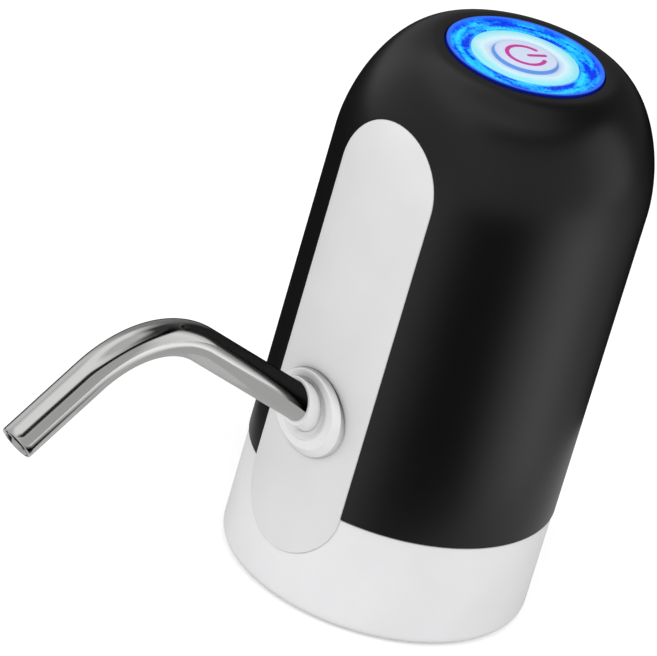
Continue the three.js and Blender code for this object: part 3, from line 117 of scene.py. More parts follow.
def standing(name, corners, faces, *materials):
    """An object of the studio, which is no part of the pump."""
    data = bpy.data.meshes.new(name)
    data.from_pydata(corners, [], faces)
    for material in materials:
        data.materials.append(material)
    item = bpy.data.objects.new(name, data)
    scene.collection.objects.link(item)
    return item


floor_paper, tree = new_material("floor_paper")
paper = add(tree, "BsdfDiffuse", {"Color": grey(FLOOR_GREY)})
lift = add(tree, "Emission", {"Strength": FLOOR_LIFT})
both = add(tree, "AddShader", {0: paper, 1: lift})
plain = add(tree, "MixShader", {"Fac": seen_rays(tree), 1: paper, 2: both})
ended(tree, plain)
edge = FLOOR_HALF
floor = standing("floor", [(-edge, -edge, 0), (edge, -edge, 0), (edge, edge, 0), (-edge, edge, 0)],
                 [(0, 1, 2, 3)], floor_paper)
floor.location.z = FLOOR_Z

world = bpy.data.worlds.new("surround")
world.use_nodes = True
scene.world = world
tree = world.node_tree
tree.nodes.clear()
around = add(tree, "Background", {"Strength": SURROUND_LIGHT})
shown = add(tree, "Background", {"Strength": SURROUND_SEEN})
choice = add(tree, "MixShader", {"Fac": seen_rays(tree), 1: around, 2: shown})
add(tree, "OutputWorld", {"Surface": choice})

# Each light: name, bearing from the camera's side in degrees, height and distance from the
# pump, width, height, power in watts.
LIGHTS = (
    ("light_right", 62.0, 0.55, 1.3, 0.55, 1.6, 3.4),
    ("light_left", -75.0, 0.45, 1.4, 0.60, 1.5, 6.2),
    ("light_top", 20.0, 1.70, 0.5, 1.20, 1.2, 6.0),
    ("light_front", -5.0, 0.70, 1.9, 1.20, 1.2, 6.3),
)
LIGHT_AIM = Vector((0, AXIS_Y, 0.07))
CAMERA_BEARING = 39.5
for name, bearing, height, distance, width, tall, power in LIGHTS:
    lamp = bpy.data.lights.new(name, "AREA")
    lamp.shape = "RECTANGLE"
    lamp.size = width
    lamp.size_y = tall
    lamp.energy = power
    light = bpy.data.objects.new(name, lamp)
    scene.collection.objects.link(light)
    angle = math.radians(CAMERA_BEARING + bearing)
    place = Vector((math.sin(angle) * distance, AXIS_Y - math.cos(angle) * distance, height))
    light.location = place
    light.rotation_euler = (place - LIGHT_AIM).to_track_quat("Z", "Y").to_euler()
    light.visible_glossy = False

# A dark gauze laid round the pump, seen only in gloss: it shades the floor's reflection by
# bearing, as black cards do, so that dark walls show upright soft bands. Stops: bearing from
# the camera's side in degrees, and the share of the floor's light that comes through. Its
# inner part is even, and reaches farther at the back, for the underside of the spout.
GAUZE = ((-180, 0.0), (-115, 0.02), (-80, 0.2), (-60, 0.5), (-25, 0.5), (-12, 0.22), (0, 0.04),
         (12, 0.0), (25, 0.0), (36, 0.06), (48, 0.32), (62, 0.7), (78, 0.9), (90, 0.65),
         (103, 0.32), (130, 0.06), (151, 0.0), (180, 0.0))
GAUZE_Z = 0.0005
GAUZE_RADII = (0.002, 0.092, 1.5)
GAUZE_SWAY = 0.026
GAUZE_SWAY_TURN = math.radians(150)
GAUZE_STEPS = 96
GAUZE_EVEN = 0.45


def circle(steps):
    return [2 * math.pi * k / steps for k in range(steps)]


def ring_quads(rings, steps):
    """Faces between rings of corners that are listed one after another."""
    return [(r * steps + k, r * steps + (k + 1) % steps,
             (r + 1) * steps + (k + 1) % steps, (r + 1) * steps + k)
            for r in range(rings - 1) for k in range(steps)]


def only_in_gloss(item):
    item.visible_camera = False
    item.visible_diffuse = False
    item.visible_shadow = False
    item.visible_transmission = False


def turned_to_camera(item, height):
    item.location = (0, AXIS_Y, height)
    item.rotation_euler.z = math.radians(CAMERA_BEARING)
    only_in_gloss(item)


def graded(tree, factor, stops):
    """A colour ramp through (position, colour) stops."""
    ramp = add(tree, "ValToRGB", {"Fac": factor})
    elements = ramp.color_ramp.elements
    for i, (position, colour) in enumerate(stops):
        last = i == len(stops) - 1
        stop = elements[0] if i == 0 else elements[-1] if last else elements.new(position)
        stop.position = position
        stop.color = tuple(colour) + (1,)
    return ramp


def between(tree, value, low, high):
    """0 below low, 1 above high, and even between them."""
    return add(tree, "MapRange", {"Value": value, "From Min": low, "From Max": high})


def let_through(tree, angle, low, high, table):
    """Greys for (degrees, share of the light let through) stops, from low to high degrees."""
    along = between(tree, angle, math.radians(low), math.radians(high))
    return graded(tree, along, [((degrees - low) / (high - low), (share, share, share))
                                for degrees, share in table])


def in_object(tree):
    """A point's place in its own object, in metres."""
    return add(tree, "TexCoord").outputs["Object"]


def bearing_node(tree, place):
    """The bearing of a place on a stage object round its own upright axis, from its front."""
    front = add(tree, "Math", {0: place["Y"], 1: -1.0}, operation="MULTIPLY")
    return add(tree, "Math", {0: place["X"], 1: front}, operation="ARCTAN2")


gauze_shade, tree = new_material("gauze")
place = add(tree, "SeparateXYZ", {0: in_object(tree)}).outputs
shades = let_through(tree, bearing_node(tree, place), -180, 180, GAUZE)
clear = add(tree, "BsdfTransparent", {"Color": shades})
ended(tree, clear)
gauze_even, tree = new_material("gauze_even")
clear = add(tree, "BsdfTransparent", {"Color": grey(GAUZE_EVEN)})
ended(tree, clear)
corners = []
for k, radius in enumerate(GAUZE_RADII):
    for a in circle(GAUZE_STEPS):
        r = radius - (GAUZE_SWAY * math.cos(a + GAUZE_SWAY_TURN) if k == 1 else 0)
        corners.append((r * math.cos(a), r * math.sin(a), 0))
gauze = standing("gauze", corners, ring_quads(len(GAUZE_RADII), GAUZE_STEPS), gauze_shade,
                 gauze_even)
turned_to_camera(gauze, GAUZE_Z)
for quad in gauze.data.polygons[:GAUZE_STEPS]:
    quad.material_index = 1

# A dark tent over the pump, seen only in gloss: it lets the surround through on the left and
# low on the right, greys it in front and darkens it behind, with a dark seam round its front and
# an even crown, so that the tube shows pale, grey and dark bands and the dome an even one. Stops:
# bearing from the camera's side in degrees for the low and the high part and for the seam's
# reach, and height above the floor in degrees for the seam, the turn and the crown.
TENT_LOW = ((-180, 0.2), (-150, 0.35), (-125, 0.8), (-100, 0.6), (-60, 0.5), (-10, 0.6), (20, 0.5),
            (70, 0.5), (84, 0.85), (104, 1.0), (114, 0.6), (122, 0.12), (165, 0.10), (180, 0.2))
TENT_HIGH = ((-180, 0.3), (-150, 1.0), (-20, 1.0), (10, 0.9), (40, 0.7), (60, 0.5), (85, 0.15),
             (110, 0.05), (170, 0.05), (180, 0.3))
TENT_SEAM = ((0, 1.0), (42, 1.0), (44.5, 0.02), (53, 0.02), (55.5, 1.0), (90, 1.0))
TENT_SEAM_SIDE = ((-180, 0), (-35, 0), (-5, 1), (120, 1), (155, 0), (180, 0))
TENT_TURN = (38, 50)
TENT_CROWN = (65, 75)
TENT_CROWN_SHARE = 0.62
TENT_Z = 0.001
TENT_R = 1.15
TENT_RINGS = 24
TENT_STEPS = 72


def mixed(tree, factor, first, second, blend_type="MIX"):
    return add(tree, "Mix", {"Factor": factor, "A": first, "B": second}, data_type="RGBA",
               blend_type=blend_type)


tent_shade, tree = new_material("tent")
place = add(tree, "SeparateXYZ", {0: in_object(tree)}).outputs
bearing = bearing_node(tree, place)
rise = add(tree, "Math", {0: place["Z"], 1: TENT_R}, operation="DIVIDE")
lean = add(tree, "Math", {0: rise}, operation="ARCSINE")
upper = between(tree, lean, *map(math.radians, TENT_TURN))
crown = between(tree, lean, *map(math.radians, TENT_CROWN))
walls = mixed(tree, upper, let_through(tree, bearing, -180, 180, TENT_LOW),
              let_through(tree, bearing, -180, 180, TENT_HIGH))
topped = mixed(tree, crown, walls, grey(TENT_CROWN_SHARE))
seamed = mixed(tree, let_through(tree, bearing, -180, 180, TENT_SEAM_SIDE), topped,
               let_through(tree, lean, 0, 90, TENT_SEAM), "MULTIPLY")
clear = add(tree, "BsdfTransparent", {"Color": seamed})
ended(tree, clear)
corners = []
for k in range(TENT_RINGS):
    height = math.pi / 2 * k / TENT_RINGS
    for a in circle(TENT_STEPS):
        corners.append((TENT_R * math.cos(height) * math.cos(a),
                        TENT_R * math.cos(height) * math.sin(a), TENT_R * math.sin(height)))
top = [(TENT_RINGS - 1) * TENT_STEPS + k for k in range(TENT_STEPS)]
tent = standing("tent", corners, ring_quads(TENT_RINGS, TENT_STEPS) + [top], tent_shade)
turned_to_camera(tent, TENT_Z)

# A grey card close in front of the wall under the spout, seen only in gloss from its front, so
# that the lower half of the tube stays grey up to its collar.
CARD_HALF = 0.05
CARD_Y = AXIS_Y - 0.0385
CARD_LOW = 0.002
CARD_HIGH = 0.046
CARD_GREY = 0.42
card_grey, tree = new_material("card")
front = add(tree, "Emission", {"Color": grey(CARD_GREY)})
clear = add(tree, "BsdfTransparent")
choice = add(tree, "MixShader", {"Fac": add(tree, "NewGeometry").outputs["Backfacing"], 1: front,
                                 2: clear})
ended(tree, choice)
card = standing("card", [(-CARD_HALF, CARD_Y, CARD_LOW), (CARD_HALF, CARD_Y, CARD_LOW),
                         (CARD_HALF, CARD_Y, CARD_HIGH), (-CARD_HALF, CARD_Y, CARD_HIGH)],
                [(0, 1, 2, 3)], card_grey)
only_in_gloss(card)


# Base collar. The white lower ring of the housing, one ABS moulding: a rounded rim outside, the
# well for the bottle's neck inside, and the plate above it that carries the pump. Its spigot
# goes up inside the black shell, and its front is recessed for the front panel.
BODY_R = 0.0375
BASE_R = 0.0372
RIM_WALL = 0.003
RIM_FLOOR = 0.0024
SEAM_Z = 0.0273
SEAM_GAP = 0.00015
SPIGOT_R = 0.0346
SPIGOT_WALL = 0.002
SPIGOT_TOP = 0.033
WELL_R = 0.0285
WELL_WALL = 0.002
PLATE_BOTTOM = 0.0248
PLATE_BORE_R = 0.0043
SCREW_CIRCLE_R = 0.0225
SCREW_BEARINGS = (45, 135, 225, 315)
SCREW_HOLE_R = 0.0015
SCREW_HOLE_ENDS = (0.02, 0.03)
TURN_STEPS = 160
GAP = 0.0003
DOME_Z = 0.108
DOME_H = 0.029
DOME_FLAT_R = 0.0214
DOME_FULLNESS = 1.78
PANEL_HALF = 0.01515
PANEL_BOTTOM = 0.012
PANEL_TOP = 0.1234
PANEL_T = 0.0013
PANEL_GAP = 0.00006
PANEL_END_STEPS = 16
PANEL_ROWS = 48
PANEL_COLUMNS = 24
PANEL_EDGE_RINGS = 5
FRONT_REACH = 0.06


def rounded(corners, steps=5):
    """The closed outline through (r, z, radius) corners, each one rounded to its radius."""
    points = []
    for i, (r, z, radius) in enumerate(corners):
        here = Vector((r, z))
        if radius <= 0:
            points.append((r, z))
            continue
        back = (Vector(corners[i - 1][:2]) - here).normalized()
        ahead = (Vector(corners[(i + 1) % len(corners)][:2]) - here).normalized()
        half = back.angle(ahead) / 2
        reach = radius / math.tan(half)
        centre = here + (back + ahead).normalized() * radius / math.sin(half)
        start = here + back * reach - centre
        finish = here + ahead * reach - centre
        for k in range(steps + 1):
            share = k / steps
            arm = start.slerp(finish, share) if start.length else start
            points.append(tuple(centre + arm.normalized() * radius))
    return points


def closed_mesh(name, mesh):
    """The mesh data of a closed bmesh, with its faces turned outwards."""
    bmesh.ops.recalc_face_normals(mesh, faces=mesh.faces)
    data = bpy.data.meshes.new(name)
    mesh.to_mesh(data)
    mesh.free()
    return data


def revolved(name, outline, steps=TURN_STEPS, centre=(0, AXIS_Y)):
    """A closed solid turned about the upright line through centre. Points on it share a pole."""
    mesh = bmesh.new()
    rings = []
    for r, z in outline:
        turns = circle(steps) if r > 1e-7 else [0]
        rings.append([mesh.verts.new((centre[0] + r * math.cos(a), centre[1] + r * math.sin(a), z))
                      for a in turns])
    for i, low in enumerate(rings):
        high = rings[(i + 1) % len(rings)]
        if len(low) == 1 and len(high) == 1:
            continue
        for k in range(steps):
            n = (k + 1) % steps
            corners = [low[k % len(low)], low[n % len(low)], high[n % len(high)], high[k % len(high)]]
            mesh.faces.new(list(dict.fromkeys(corners)))
    return closed_mesh(name, mesh)


def smoothed(data, sharp_degrees=32):
    data.polygons.foreach_set("use_smooth", [True] * len(data.polygons))
    data.set_sharp_from_angle(angle=math.radians(sharp_degrees))
    return data


def placed(name, data, material, body, slot, *nodes):
    """Puts a mesh in the scene as a piece on a body, in place of the named solids."""
    item = bpy.data.objects.new(name, data)
    scene.collection.objects.link(item)
    data.materials.clear()
    data.materials.append(material)
    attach(item, body)
    if nodes:
        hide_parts(*nodes)
    return item


def carved(data, cutters, operation="DIFFERENCE"):
    """The mesh after each tool mesh has been taken out of it, or joined to it by a UNION."""
    work = bpy.data.objects.new("work", data)
    scene.collection.objects.link(work)
    for cutter in cutters:
        tool = bpy.data.objects.new("tool", cutter)
        scene.collection.objects.link(tool)
        cut = work.modifiers.new("cut", "BOOLEAN")
        cut.operation = operation
        cut.solver = "EXACT"
        cut.object = tool
        bpy.context.view_layer.update()
        result = bpy.data.meshes.new_from_object(work.evaluated_get(
            bpy.context.evaluated_depsgraph_get()))
        work.modifiers.clear()
        work.data = result
        bpy.data.objects.remove(tool)
        bpy.data.meshes.remove(cutter)
    bpy.data.objects.remove(work)
    return result


def principled(tree, inputs):
    ended(tree, add(tree, "BsdfPrincipled", inputs))


def toned(tree, factor, colour, stops):
    """A ramp of one colour through (position, share of its brightness) stops."""
    return graded(tree, factor, [(position, tuple(min(1.0, c * share) for c in colour))
                                 for position, share in stops])


def noise(tree, place, scale, detail=2.0):
    return add(tree, "TexNoise", {"Vector": place, "Scale": scale, "Detail": detail})


def moulded(name, colour, roughness, tint=0.03, grain=900.0, relief=0.02):
    """Moulded plastic: clouded very slightly in colour and gloss, with a fine skin texture."""
    material, tree = new_material(name)
    where = in_object(tree)
    cloud = noise(tree, where, 45.0, 3.0)
    skin = noise(tree, where, grain)
    gloss = add(tree, "MapRange", {"Value": cloud, "To Min": roughness - 0.03,
                                   "To Max": roughness + 0.03})
    principled(tree, {
        "Base Color": toned(tree, cloud, colour, ((0.3, 1 - tint), (0.7, 1 + tint))),
        "Roughness": gloss,
        "Normal": add(tree, "Bump", {"Height": skin, "Strength": relief, "Distance": 0.0002})})
    return material


def dressed(material, *nodes):
    """Gives the named solids a material in place of their plain colour."""
    for node in nodes:
        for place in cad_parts[node].material_slots:
            place.link = "OBJECT"
            place.material = material


def wall_radii(inset, steps=80):
    """Points (z, r) on the housing's outer wall, moved in by inset, from the table to the top."""
    points = [(0.0, BODY_R - inset), (DOME_Z, BODY_R - inset)]
    power = 2 / DOME_FULLNESS
    span = BODY_R - DOME_FLAT_R
    for k in range(1, steps + 1):
        angle = math.pi / 2 * k / steps
        c, s = math.sin(angle), math.cos(angle)
        out = Vector((DOME_H * s ** (2 - power), span * c ** (2 - power))).normalized()
        points.append((DOME_Z + DOME_H * c ** power - inset * out[1],
                       DOME_FLAT_R + span * s ** power - inset * out[0]))
    return points


def radius_at(points, z):
    """The wall's radius at height z, read off the points of wall_radii."""
    for (low, r), (high, r_next) in zip(points, points[1:]):
        if z <= high:
            return r + (r_next - r) * max(0.0, z - low) / max(high - low, 1e-9)
    return points[-1][1]


def stadium_plate(name, inset_front, inset_back, shrink, rounding=0.0, far=False):
    """A closed plate with the panel's outline: straight sides and half-round ends, bent over the
    housing. Its faces lie at two depths under the wall, or the front one lies well outside."""
    half = PANEL_HALF - shrink
    ends = (PANEL_BOTTOM + PANEL_HALF, PANEL_TOP - PANEL_HALF)
    edge_rings = PANEL_EDGE_RINGS if rounding else 1
    tables = {}

    def point(x, z, inset):
        if inset not in tables:
            tables[inset] = wall_radii(inset)
        if far and inset == inset_front:
            return Vector((x, AXIS_Y - FRONT_REACH, z))
        r = radius_at(tables[inset], z)
        return Vector((x, AXIS_Y - math.sqrt(max(r * r - x * x, 0.0)), z))

    def rim(margin):
        width = half - margin
        turns = [math.pi / 2 * k / PANEL_END_STEPS for k in range(PANEL_END_STEPS + 1)]
        rows = [(ends[0] - width * math.cos(a), width * math.sin(a)) for a in turns]
        rows += [(ends[0] + (ends[1] - ends[0]) * k / PANEL_ROWS, width)
                 for k in range(1, PANEL_ROWS)]
        rows += [(ends[1] + width * math.sin(a), width * math.cos(a)) for a in turns]
        return rows

    mesh = bmesh.new()

    def ring(margin, inset):
        rows = rim(margin)
        right = [mesh.verts.new(point(w, z, inset)) for z, w in rows]
        left = [mesh.verts.new(point(-w, z, inset)) for z, w in rows[1:-1]]
        return rows, right, left

    def skin(rows, right, left, inset, out):
        lines = [[right[0]] * (PANEL_COLUMNS + 1)]
        for i, (z, w) in enumerate(rows[1:-1]):
            inner = [mesh.verts.new(point(-w + 2 * w * k / PANEL_COLUMNS, z, inset))
                     for k in range(1, PANEL_COLUMNS)]
            lines.append([left[i]] + inner + [right[i + 1]])
        lines.append([right[-1]] * (PANEL_COLUMNS + 1))
        for low, high in zip(lines, lines[1:]):
            for k in range(PANEL_COLUMNS):
                corners = list(dict.fromkeys((low[k], low[k + 1], high[k + 1], high[k])))
                mesh.faces.new(corners if out else corners[::-1])

    def wall(first, second):
        a = first[1] + first[2][::-1]
        b = second[1] + second[2][::-1]
        for k in range(len(a)):
            n = (k + 1) % len(a)
            mesh.faces.new((a[k], b[k], b[n], a[n]))

    rings = []
    for k in range(edge_rings):
        turn = math.pi / 2 * k / max(edge_rings - 1, 1)
        margin = rounding * (1 - math.cos(turn))
        depth = rounding * (1 - math.sin(turn)) if rounding else 0.0
        rings.append(ring(margin, inset_front + depth))
    back = ring(0.0, inset_back)
    wall(back, rings[0])
    for first, second in zip(rings, rings[1:]):
        wall(first, second)
    skin(*rings[-1], inset_front, True)
    skin(*back, inset_back, False)
    return closed_mesh(name, mesh)


def panel_recess():
    return stadium_plate("recess", 0.0, PANEL_T + GAP, -PANEL_GAP, far=True)


base_outline = rounded([
    (PLATE_BORE_R, PLATE_BOTTOM, 0.0001), (WELL_R, PLATE_BOTTOM, 0.0005), (WELL_R, 0.001, 0.0004),
    (WELL_R + 0.001, 0.0, 0.0003), (BASE_R, 0.0, 0.0025), (BASE_R, SEAM_Z - SEAM_GAP, 0.0002),
    (SPIGOT_R, SEAM_Z - SEAM_GAP, 0), (SPIGOT_R, SPIGOT_TOP, 0.0004),
    (SPIGOT_R - SPIGOT_WALL, SPIGOT_TOP, 0.0004), (SPIGOT_R - SPIGOT_WALL, 0.022, 0),
    (BASE_R - RIM_WALL, 0.0204, 0), (BASE_R - RIM_WALL, RIM_FLOOR, 0.0004),
    (WELL_R + WELL_WALL, RIM_FLOOR, 0.0004), (WELL_R + WELL_WALL, SEAM_Z, 0),
    (PLATE_BORE_R, SEAM_Z, 0)])
screw_places = [(SCREW_CIRCLE_R * math.cos(math.radians(bearing)),
                 AXIS_Y + SCREW_CIRCLE_R * math.sin(math.radians(bearing)))
                for bearing in SCREW_BEARINGS]
foot, top = SCREW_HOLE_ENDS
screw_holes = [revolved("hole", [(0, foot), (SCREW_HOLE_R, foot), (SCREW_HOLE_R, top), (0, top)],
                        24, place) for place in screw_places]
base = carved(revolved("base_collar", base_outline), screw_holes + [panel_recess()])
white_abs = moulded("white_abs", (0.775, 0.775, 0.785), 0.30)
skirt = placed("base", smoothed(base), white_abs, "housing", "white_base", "base_collar")
skirt.visible_glossy = False


# Neck seal. A soft white silicone ring pushed into the top of the well, with a thin inner lip
# that closes on the mouth of the bottle.
SEAL_R = 0.0282
SEAL_BORE_R = 0.0263
SEAL_LIP_R = 0.0255
SEAL_TOP = 0.0245
SEAL_FOOT = 0.0199
seal_outline = rounded([
    (SEAL_R, SEAL_FOOT, 0.0005), (SEAL_R, SEAL_TOP, 0.0001), (SEAL_LIP_R, SEAL_TOP, 0.0002),
    (SEAL_LIP_R, SEAL_TOP - 0.0008, 0.0003), (SEAL_BORE_R, SEAL_TOP - 0.0016, 0.0004),
    (SEAL_BORE_R, SEAL_FOOT, 0.0005)])
soft_white = moulded("white_silicone", (0.80, 0.82, 0.83), 0.55, relief=0.05)
placed("neck_ring", smoothed(revolved("neck_seal", seal_outline)), soft_white, "housing",
       "white_silicone", "neck_seal")


# Inlet nipple. A barbed white ABS stub under the middle of the plate, for the drop hose, with
# its own flange and a rubber ring above it.
NIPPLE_BORE_R = 0.0023
NIPPLE_FOOT = 0.0124
NIPPLE_TOP = 0.0328
NIPPLE_FLANGE_R = 0.0065
NIPPLE_FLANGE_T = 0.0016
NIPPLE_NECK_R = 0.004
NIPPLE_NECK_TOP = 0.027
NIPPLE_STEM_R = 0.003
BARB_R = 0.0045
BARB_ROOT_R = 0.0036
BARB_H = 0.0024
BARB_STEP = 0.003
BARBS = 3
barbs = []
for k in range(BARBS):
    foot = NIPPLE_FOOT + k * BARB_STEP
    barbs += [(BARB_ROOT_R, foot, 0.0002), (BARB_R, foot + BARB_H, 0.00015),
              (BARB_ROOT_R, foot + BARB_H, 0)]
nipple_outline = rounded(
    [(NIPPLE_BORE_R, NIPPLE_FOOT, 0.0002)] + barbs
    + [(BARB_ROOT_R, SEAL_TOP - NIPPLE_FLANGE_T, 0),
       (NIPPLE_FLANGE_R, SEAL_TOP - NIPPLE_FLANGE_T, 0.0003), (NIPPLE_FLANGE_R, SEAL_TOP, 0.0002),
       (NIPPLE_NECK_R, SEAL_TOP, 0), (NIPPLE_NECK_R, NIPPLE_NECK_TOP, 0),
       (NIPPLE_STEM_R, NIPPLE_NECK_TOP, 0), (NIPPLE_STEM_R, NIPPLE_TOP, 0.0002),
       (NIPPLE_BORE_R, NIPPLE_TOP, 0.0002)], 3)
placed("hose_nipple", smoothed(revolved("nipple", nipple_outline, 72)), white_abs, "housing",
       "white_base", "inlet_nipple")
black_rubber = moulded("black_rubber", (0.02, 0.02, 0.02), 0.6, grain=500.0, relief=0.15)
dressed(black_rubber, "inlet_o_ring")


# Inner frame. One grey-white ABS moulding on the plate, with the cradles for the motor and the
# cell, the rails for the board and the saddle under the spout's socket.
grey_abs = moulded("grey_abs", (0.62, 0.64, 0.66), 0.45)
dressed(grey_abs, "inner_frame")


# Gear pump. Body and end plate are moulded, with two meshing acetal gears between them. One
# turns on a steel pin, the other on the motor's shaft behind a rubber lip seal.
def metal(name, colour, roughness, scale=(60.0, 60.0, 900.0), relief=0.02):
    """Bare metal with fine draw lines along one direction, which vary its gloss and its tone."""
    material, tree = new_material(name)
    stretch = add(tree, "Mapping", {"Vector": in_object(tree), "Scale": scale})
    lines = noise(tree, stretch, 6.0, 4.0)
    gloss = add(tree, "MapRange", {"Value": lines, "To Min": roughness * 0.8,
                                   "To Max": roughness * 1.25})
    principled(tree, {
        "Metallic": 1.0,
        "Base Color": toned(tree, lines, colour, ((0, 0.94), (1, 1.04))),
        "Roughness": gloss,
        "Normal": add(tree, "Bump", {"Height": lines, "Strength": relief, "Distance": 0.0001})})
    return material


pump_abs = moulded("pump_plastic", (0.75, 0.75, 0.73), 0.4)
acetal = moulded("acetal", (0.85, 0.83, 0.74), 0.38)
plated_steel = metal("plated_steel", (0.55, 0.55, 0.56), 0.32)
dressed(pump_abs, "pump_body", "pump_cover")
dressed(black_rubber, "pump_gasket", "shaft_seal")
dressed(acetal, "drive_gear", "idler_gear")
dressed(plated_steel, "idler_pin", "pump_screw_left", "pump_screw_right")


# Motor. A plated can with two ferrite magnets round a three-pole armature, closed by a black
# cap that holds the brushes and the two terminals.
copper_wire = metal("copper_wire", (0.48, 0.18, 0.07), 0.35, (40.0, 40.0, 1600.0), 0.2)
ferrite = moulded("ferrite", (0.06, 0.06, 0.07), 0.6, grain=1400.0, relief=0.1)
black_nylon = moulded("black_nylon", (0.012, 0.012, 0.013), 0.45)
dressed(plated_steel, "motor_can", "motor_shaft")
dressed(black_nylon, "motor_end_cap")
dressed(copper_wire, "motor_armature")
dressed(ferrite, "magnet_left", "magnet_right")


# Delivery hose. A short clear silicone hose pushed over the barbs of the pump's outlet and of
# the spout's socket.
clear_silicone = moulded("clear_silicone", (0.72, 0.76, 0.76), 0.3)
dressed(clear_silicone, "delivery_hose")


# Cell. One steel lithium cell in a blue shrink sleeve, stood in its cup beside the motor, with
# nickel strips spot-welded to both ends.
blue_sleeve = moulded("blue_sleeve", (0.03, 0.13, 0.45), 0.28)
nickel = metal("nickel_strip", (0.60, 0.58, 0.54), 0.25)
dressed(blue_sleeve, "battery_cell")
dressed(nickel, "battery_tab_bottom", "battery_tab_top")


# Main board. A green circuit board upright at the back, between the frame's rails, with the
# charging chip, a coil and the charging socket soldered to it.
def solder_mask(name, colour):
    """Green varnish over copper: a faint net of straight tracks under a glossy coat."""
    material, tree = new_material(name)
    tracks = add(tree, "TexBrick", {
        "Vector": in_object(tree), "Scale": 140.0, "Mortar Size": 0.06,
        "Color1": colour + (1,), "Color2": tuple(c * 0.9 for c in colour) + (1,),
        "Mortar": tuple(c * 1.5 for c in colour) + (1,)})
    principled(tree, {"Base Color": tracks, "Roughness": 0.3})
    return material


green_mask = solder_mask("solder_mask", (0.01, 0.14, 0.05))
dressed(green_mask, "main_board")
dressed(black_nylon, "charge_chip", "power_coil")


# Charging socket. A folded steel shell with rounded corners round a black tongue, set back
# behind a slot in the shell.
USB_Z = 0.040
USB_W = 0.008
USB_H = 0.003
USB_CORNER_R = 0.0007
USB_WALL = 0.00035
USB_FLOOR = 0.0014
USB_EDGE = 0.0001


def bridged(mesh, low, high):
    """Faces between two closed loops that have the same number of corners."""
    for k in range(len(low)):
        n = (k + 1) % len(low)
        mesh.faces.new((low[k], low[n], high[n], high[k]))


def socket_shell(y_back, y_front, steps=6):
    """A square-set tube with rounded corners, open at its front, with a floor near its back."""
    def loop(inset):
        radius = max(USB_CORNER_R - inset, 1e-4)
        half_w = USB_W / 2 - inset - radius
        half_h = USB_H / 2 - inset - radius
        points = []
        for sx, sz, start in ((1, 1, 0), (-1, 1, 90), (-1, -1, 180), (1, -1, 270)):
            for k in range(steps + 1):
                angle = math.radians(start + 90 * k / steps)
                points.append((sx * half_w + radius * math.cos(angle),
                               USB_Z + sz * half_h + radius * math.sin(angle)))
        return points

    mesh = bmesh.new()
    stages = [(0.0, y_back), (0.0, y_front - USB_EDGE), (USB_EDGE, y_front),
              (USB_WALL - USB_EDGE, y_front), (USB_WALL, y_front - USB_EDGE),
              (USB_WALL, y_back + USB_FLOOR)]
    loops = [[mesh.verts.new((x, y, z)) for x, z in loop(inset)] for inset, y in stages]
    for low, high in zip(loops, loops[1:]):
        bridged(mesh, low, high)
    mesh.faces.new(loops[0][::-1])
    mesh.faces.new(loops[-1])
    return closed_mesh("usb_shell", mesh)


port_low, port_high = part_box("usb_socket")
port = socket_shell(port_low[1], port_high[1])
placed("charging_socket", smoothed(port), plated_steel, "housing", "plain_steel", "usb_socket")
dressed(black_nylon, "usb_tongue")


# Leads. Thin vinyl-covered wires from the board to the motor, the cell and the light board,
# each soldered at both ends.
for colour, paint, leads in (
        ("red_vinyl", (0.45, 0.01, 0.02), ("motor_lead_red", "battery_lead_red")),
        ("black_vinyl", (0.01, 0.01, 0.01), ("motor_lead_black", "battery_lead_black")),
        ("blue_vinyl", (0.02, 0.09, 0.40), ("button_lead",))):
    dressed(moulded(colour, paint, 0.4), *leads)


# Upper shell. The black ABS housing, domed above, with the seat of the light ring in its flat
# top, the front panel's recess, the spout's passage and the slot of the charging socket.
SHELL_WALL = 0.0026
HOUSING_TOP = 0.137
RING_R = 0.0189
RING_SEAT_GAP = 0.0002
INLET_Z = 0.0489
INLET_ANGLE = math.radians(30.3)
INLET = Matrix.Translation((0, AXIS_Y - BODY_R, INLET_Z)) @ Matrix.Rotation(
    math.pi / 2 - INLET_ANGLE, 4, "X")
PASSAGE_R = 0.0075
PASSAGE_ENDS = (-0.012, 0.02)
SLOT_HALF = 0.0027
SLOT_R = 0.0028
SLOT_ENDS = (AXIS_Y + 0.030, AXIS_Y + 0.040)


def spun(name, outline, steps, turned_to):
    """A closed turned solid whose axis is then laid along another line."""
    data = revolved(name, outline, steps, (0, 0))
    data.transform(turned_to)
    return data


def true_to_wall(data):
    """Gives each corner on the outer wall the normal of the wall's own curve."""
    flat = [Vector((0, 0, 0))] * len(data.loops)
    table = wall_radii(0.0)
    reach = 0.0001
    slopes = {}
    for face in data.polygons:
        centre = face.center
        out = Vector((centre.x, centre.y - AXIS_Y, 0))
        if abs(out.length - radius_at(table, centre.z)) > 2 * reach or centre.z > HOUSING_TOP - reach:
            continue
        for index in face.loop_indices:
            place = data.vertices[data.loops[index].vertex_index].co
            side = Vector((place.x, place.y - AXIS_Y, 0))
            if abs(side.length - radius_at(table, place.z)) > 1.2 * reach:
                continue
            key = round(place.z, 6)
            if key not in slopes:
                up = radius_at(table, place.z + reach) - radius_at(table, place.z - reach)
                slopes[key] = math.atan2(-up, 2 * reach)
            slope = slopes[key]
            normal = side.normalized() * math.cos(slope) + Vector((0, 0, math.sin(slope)))
            if normal.dot(face.normal) > 0.7:
                flat[index] = normal
    data.normals_split_custom_set(flat)
    return data


